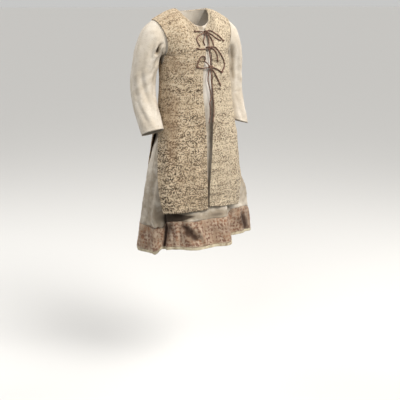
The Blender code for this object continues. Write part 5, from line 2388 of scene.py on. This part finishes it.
@dataclass
class Stage:
    """Plain pale floor, soft studio light and the camera."""

    floor_z: float = -1.45
    floor_size: float = 500.0
    floor_colour: Colour = (0.80, 0.79, 0.77)
    camera_place: tuple[float, float, float] = (-1.6776, -2.4871, 0.05)
    azimuth: float = -34.0
    pitch: float = 14.45
    focal: float = 765.0
    axis_x: float = 193.5
    frame_width: float = 400.0
    sensor: float = 36.0
    aim: tuple[float, float, float] = (0.0, 0.0, -0.45)

    def camera(self) -> None:
        """Places the camera."""
        data = bpy.data.cameras.new("studio_camera")
        data.sensor_width = self.sensor
        data.lens = self.focal / self.frame_width * self.sensor
        data.shift_x = (self.frame_width / 2.0 - self.axis_x) / self.frame_width
        camera = add_object("studio_camera", data)
        camera.location = self.camera_place
        camera.rotation_euler = (math.radians(90.0 - self.pitch), 0.0, math.radians(self.azimuth))
        bpy.context.scene.camera = camera

    def floor(self) -> None:
        """Lays the floor."""
        shape = bmesh.new()
        bmesh.ops.create_grid(shape, x_segments=2, y_segments=2, size=self.floor_size / 2.0)
        bmesh.ops.translate(shape, verts=shape.verts, vec=(0.0, 0.0, self.floor_z))
        graph = Graph("studio_floor")
        graph.shader.inputs["Base Color"].default_value = (*self.floor_colour, 1.0)
        graph.shader.inputs["Roughness"].default_value = 0.9
        floor = mesh_object("studio_floor", shape, graph.material)
        floor.visible_diffuse = False

    def lamp(
        self, name: str, place: Sequence[float], size: float, power: float, tint: Colour
    ) -> None:
        """Adds a soft square light that faces the garment.

        Args:
            name: Name of the light.
            place: Where it stands.
            size: Length of its sides.
            power: Its power in watts.
            tint: Its colour.
        """
        data = bpy.data.lights.new(name, "AREA")
        data.size = size
        data.energy = power
        data.color = tint
        lamp = add_object(name, data)
        lamp.location = place
        aim = Vector(self.aim) - Vector(place)
        lamp.rotation_euler = aim.to_track_quat("-Z", "Y").to_euler()

    def daylight(self) -> None:
        """Gives the studio its broad soft light from the front and above."""
        data = bpy.data.lights.new("broad", "SUN")
        data.energy = 1.9
        data.angle = math.radians(38.0)
        data.color = (1.0, 0.985, 0.96)
        lamp = add_object("broad", data)
        aim = Vector((-0.30, 0.80, -0.90))
        lamp.rotation_euler = aim.to_track_quat("-Z", "Y").to_euler()

    def surroundings(self) -> None:
        """Makes the room: pale at the level of the eye, dimmer above and below."""
        world = bpy.data.worlds.new("studio")
        world.use_nodes = True
        tree = world.node_tree
        direction = tree.nodes.new("ShaderNodeTexCoord").outputs["Generated"]
        parts = tree.nodes.new("ShaderNodeSeparateXYZ")
        ramp = tree.nodes.new("ShaderNodeValToRGB")
        elements = ramp.color_ramp.elements
        for at, shade in ((0.0, 0.15), (0.47, 0.17), (0.49, 0.575), (0.54, 0.575), (0.72, 0.26)):
            element = elements.new(at)
            element.color = (shade, shade, shade * 0.985, 1.0)
        elements.remove(elements[-1])
        half = tree.nodes.new("ShaderNodeMapRange")
        half.inputs["From Min"].default_value = -1.0
        tree.links.new(direction, parts.inputs[0])
        tree.links.new(parts.outputs[2], half.inputs[0])
        tree.links.new(half.outputs[0], ramp.inputs[0])
        tree.links.new(ramp.outputs[0], tree.nodes["Background"].inputs["Color"])
        bpy.context.scene.world = world

    def light(self) -> None:
        """Lights the garment from in front, both sides and behind, with plain colours."""
        self.daylight()
        self.surroundings()
        self.lamp("key", (0.5, -2.1, 1.5), 1.1, 34.0, (1.0, 0.97, 0.93))
        self.lamp("fill", (-2.3, -1.5, 1.3), 1.6, 30.0, (0.97, 0.98, 1.0))
        self.lamp("side", (2.5, -0.5, 1.2), 1.4, 34.0, (1.0, 0.98, 0.95))
        self.lamp("behind", (-1.7, 2.3, 1.4), 1.4, 44.0, (0.99, 0.98, 0.97))
        bpy.context.scene.view_settings.view_transform = "Standard"


def cloth_surface(piece: bpy.types.Object) -> BVHTree:
    """Returns a finished piece of cloth as a surface to rest on."""
    return BVHTree.FromObject(piece, bpy.context.evaluated_depsgraph_get())


def main() -> None:
    """Builds the stage and the garment, piece by piece."""
    stage = Stage()
    stage.camera()
    stage.floor()
    stage.light()
    LOG.info("stage: camera, floor and lights")
    dress, tunic = DressForm(), TunicForm()
    linen = LinenFinish().material()
    right = TweedFinish(
        "slub_tweed_right",
        (0.060, 0.042, 0.028),
        (0.19, 0.135, 0.085),
        (0.43, 0.325, 0.215),
        (0.72, 0.60, 0.43),
        (0.58, 0.43, 0.27),
        (0.30, 0.18, 0.095),
        0.03,
    )
    left = TweedFinish(
        "slub_tweed_left",
        (0.075, 0.055, 0.038),
        (0.24, 0.175, 0.115),
        (0.49, 0.38, 0.26),
        (0.75, 0.64, 0.46),
        (0.62, 0.50, 0.35),
        (0.28, 0.17, 0.10),
        -0.015,
    )
    back = TweedFinish(
        "slub_tweed_back",
        (0.055, 0.036, 0.020),
        (0.22, 0.14, 0.08),
        (0.44, 0.31, 0.19),
        (0.68, 0.55, 0.38),
        (0.52, 0.36, 0.19),
        (0.22, 0.11, 0.05),
    )
    thread = ThreadFinish().material()
    fine = Stitching(thread, 0.0034, 0.0062, 0.00042)
    for builder in (
        UnderDress(dress, linen, fine),
        Sleeves(dress, linen, fine),
        HemBand(dress, BandFinish().material(), BindingFinish().material(), fine),
    ):
        for piece in builder.build():
            LOG.info("%s: %s", type(builder).__name__, piece.name)
    tweeds = {-1: right.material(), 1: left.material()}
    fronts = OverTunic(tunic, tweeds, back.material(), Stitching(thread)).build()
    for piece in fronts:
        LOG.info("OverTunic: %s", piece.name)
    cloths = [cloth_surface(piece) for piece in fronts[:2]]
    for piece in Ties(tunic, LeatherFinish().material(), cloths).build():
        LOG.info("Ties: %s", piece.name)


if __name__ == "__main__":
    logging.basicConfig(level=logging.INFO, format="%(message)s")
    main()
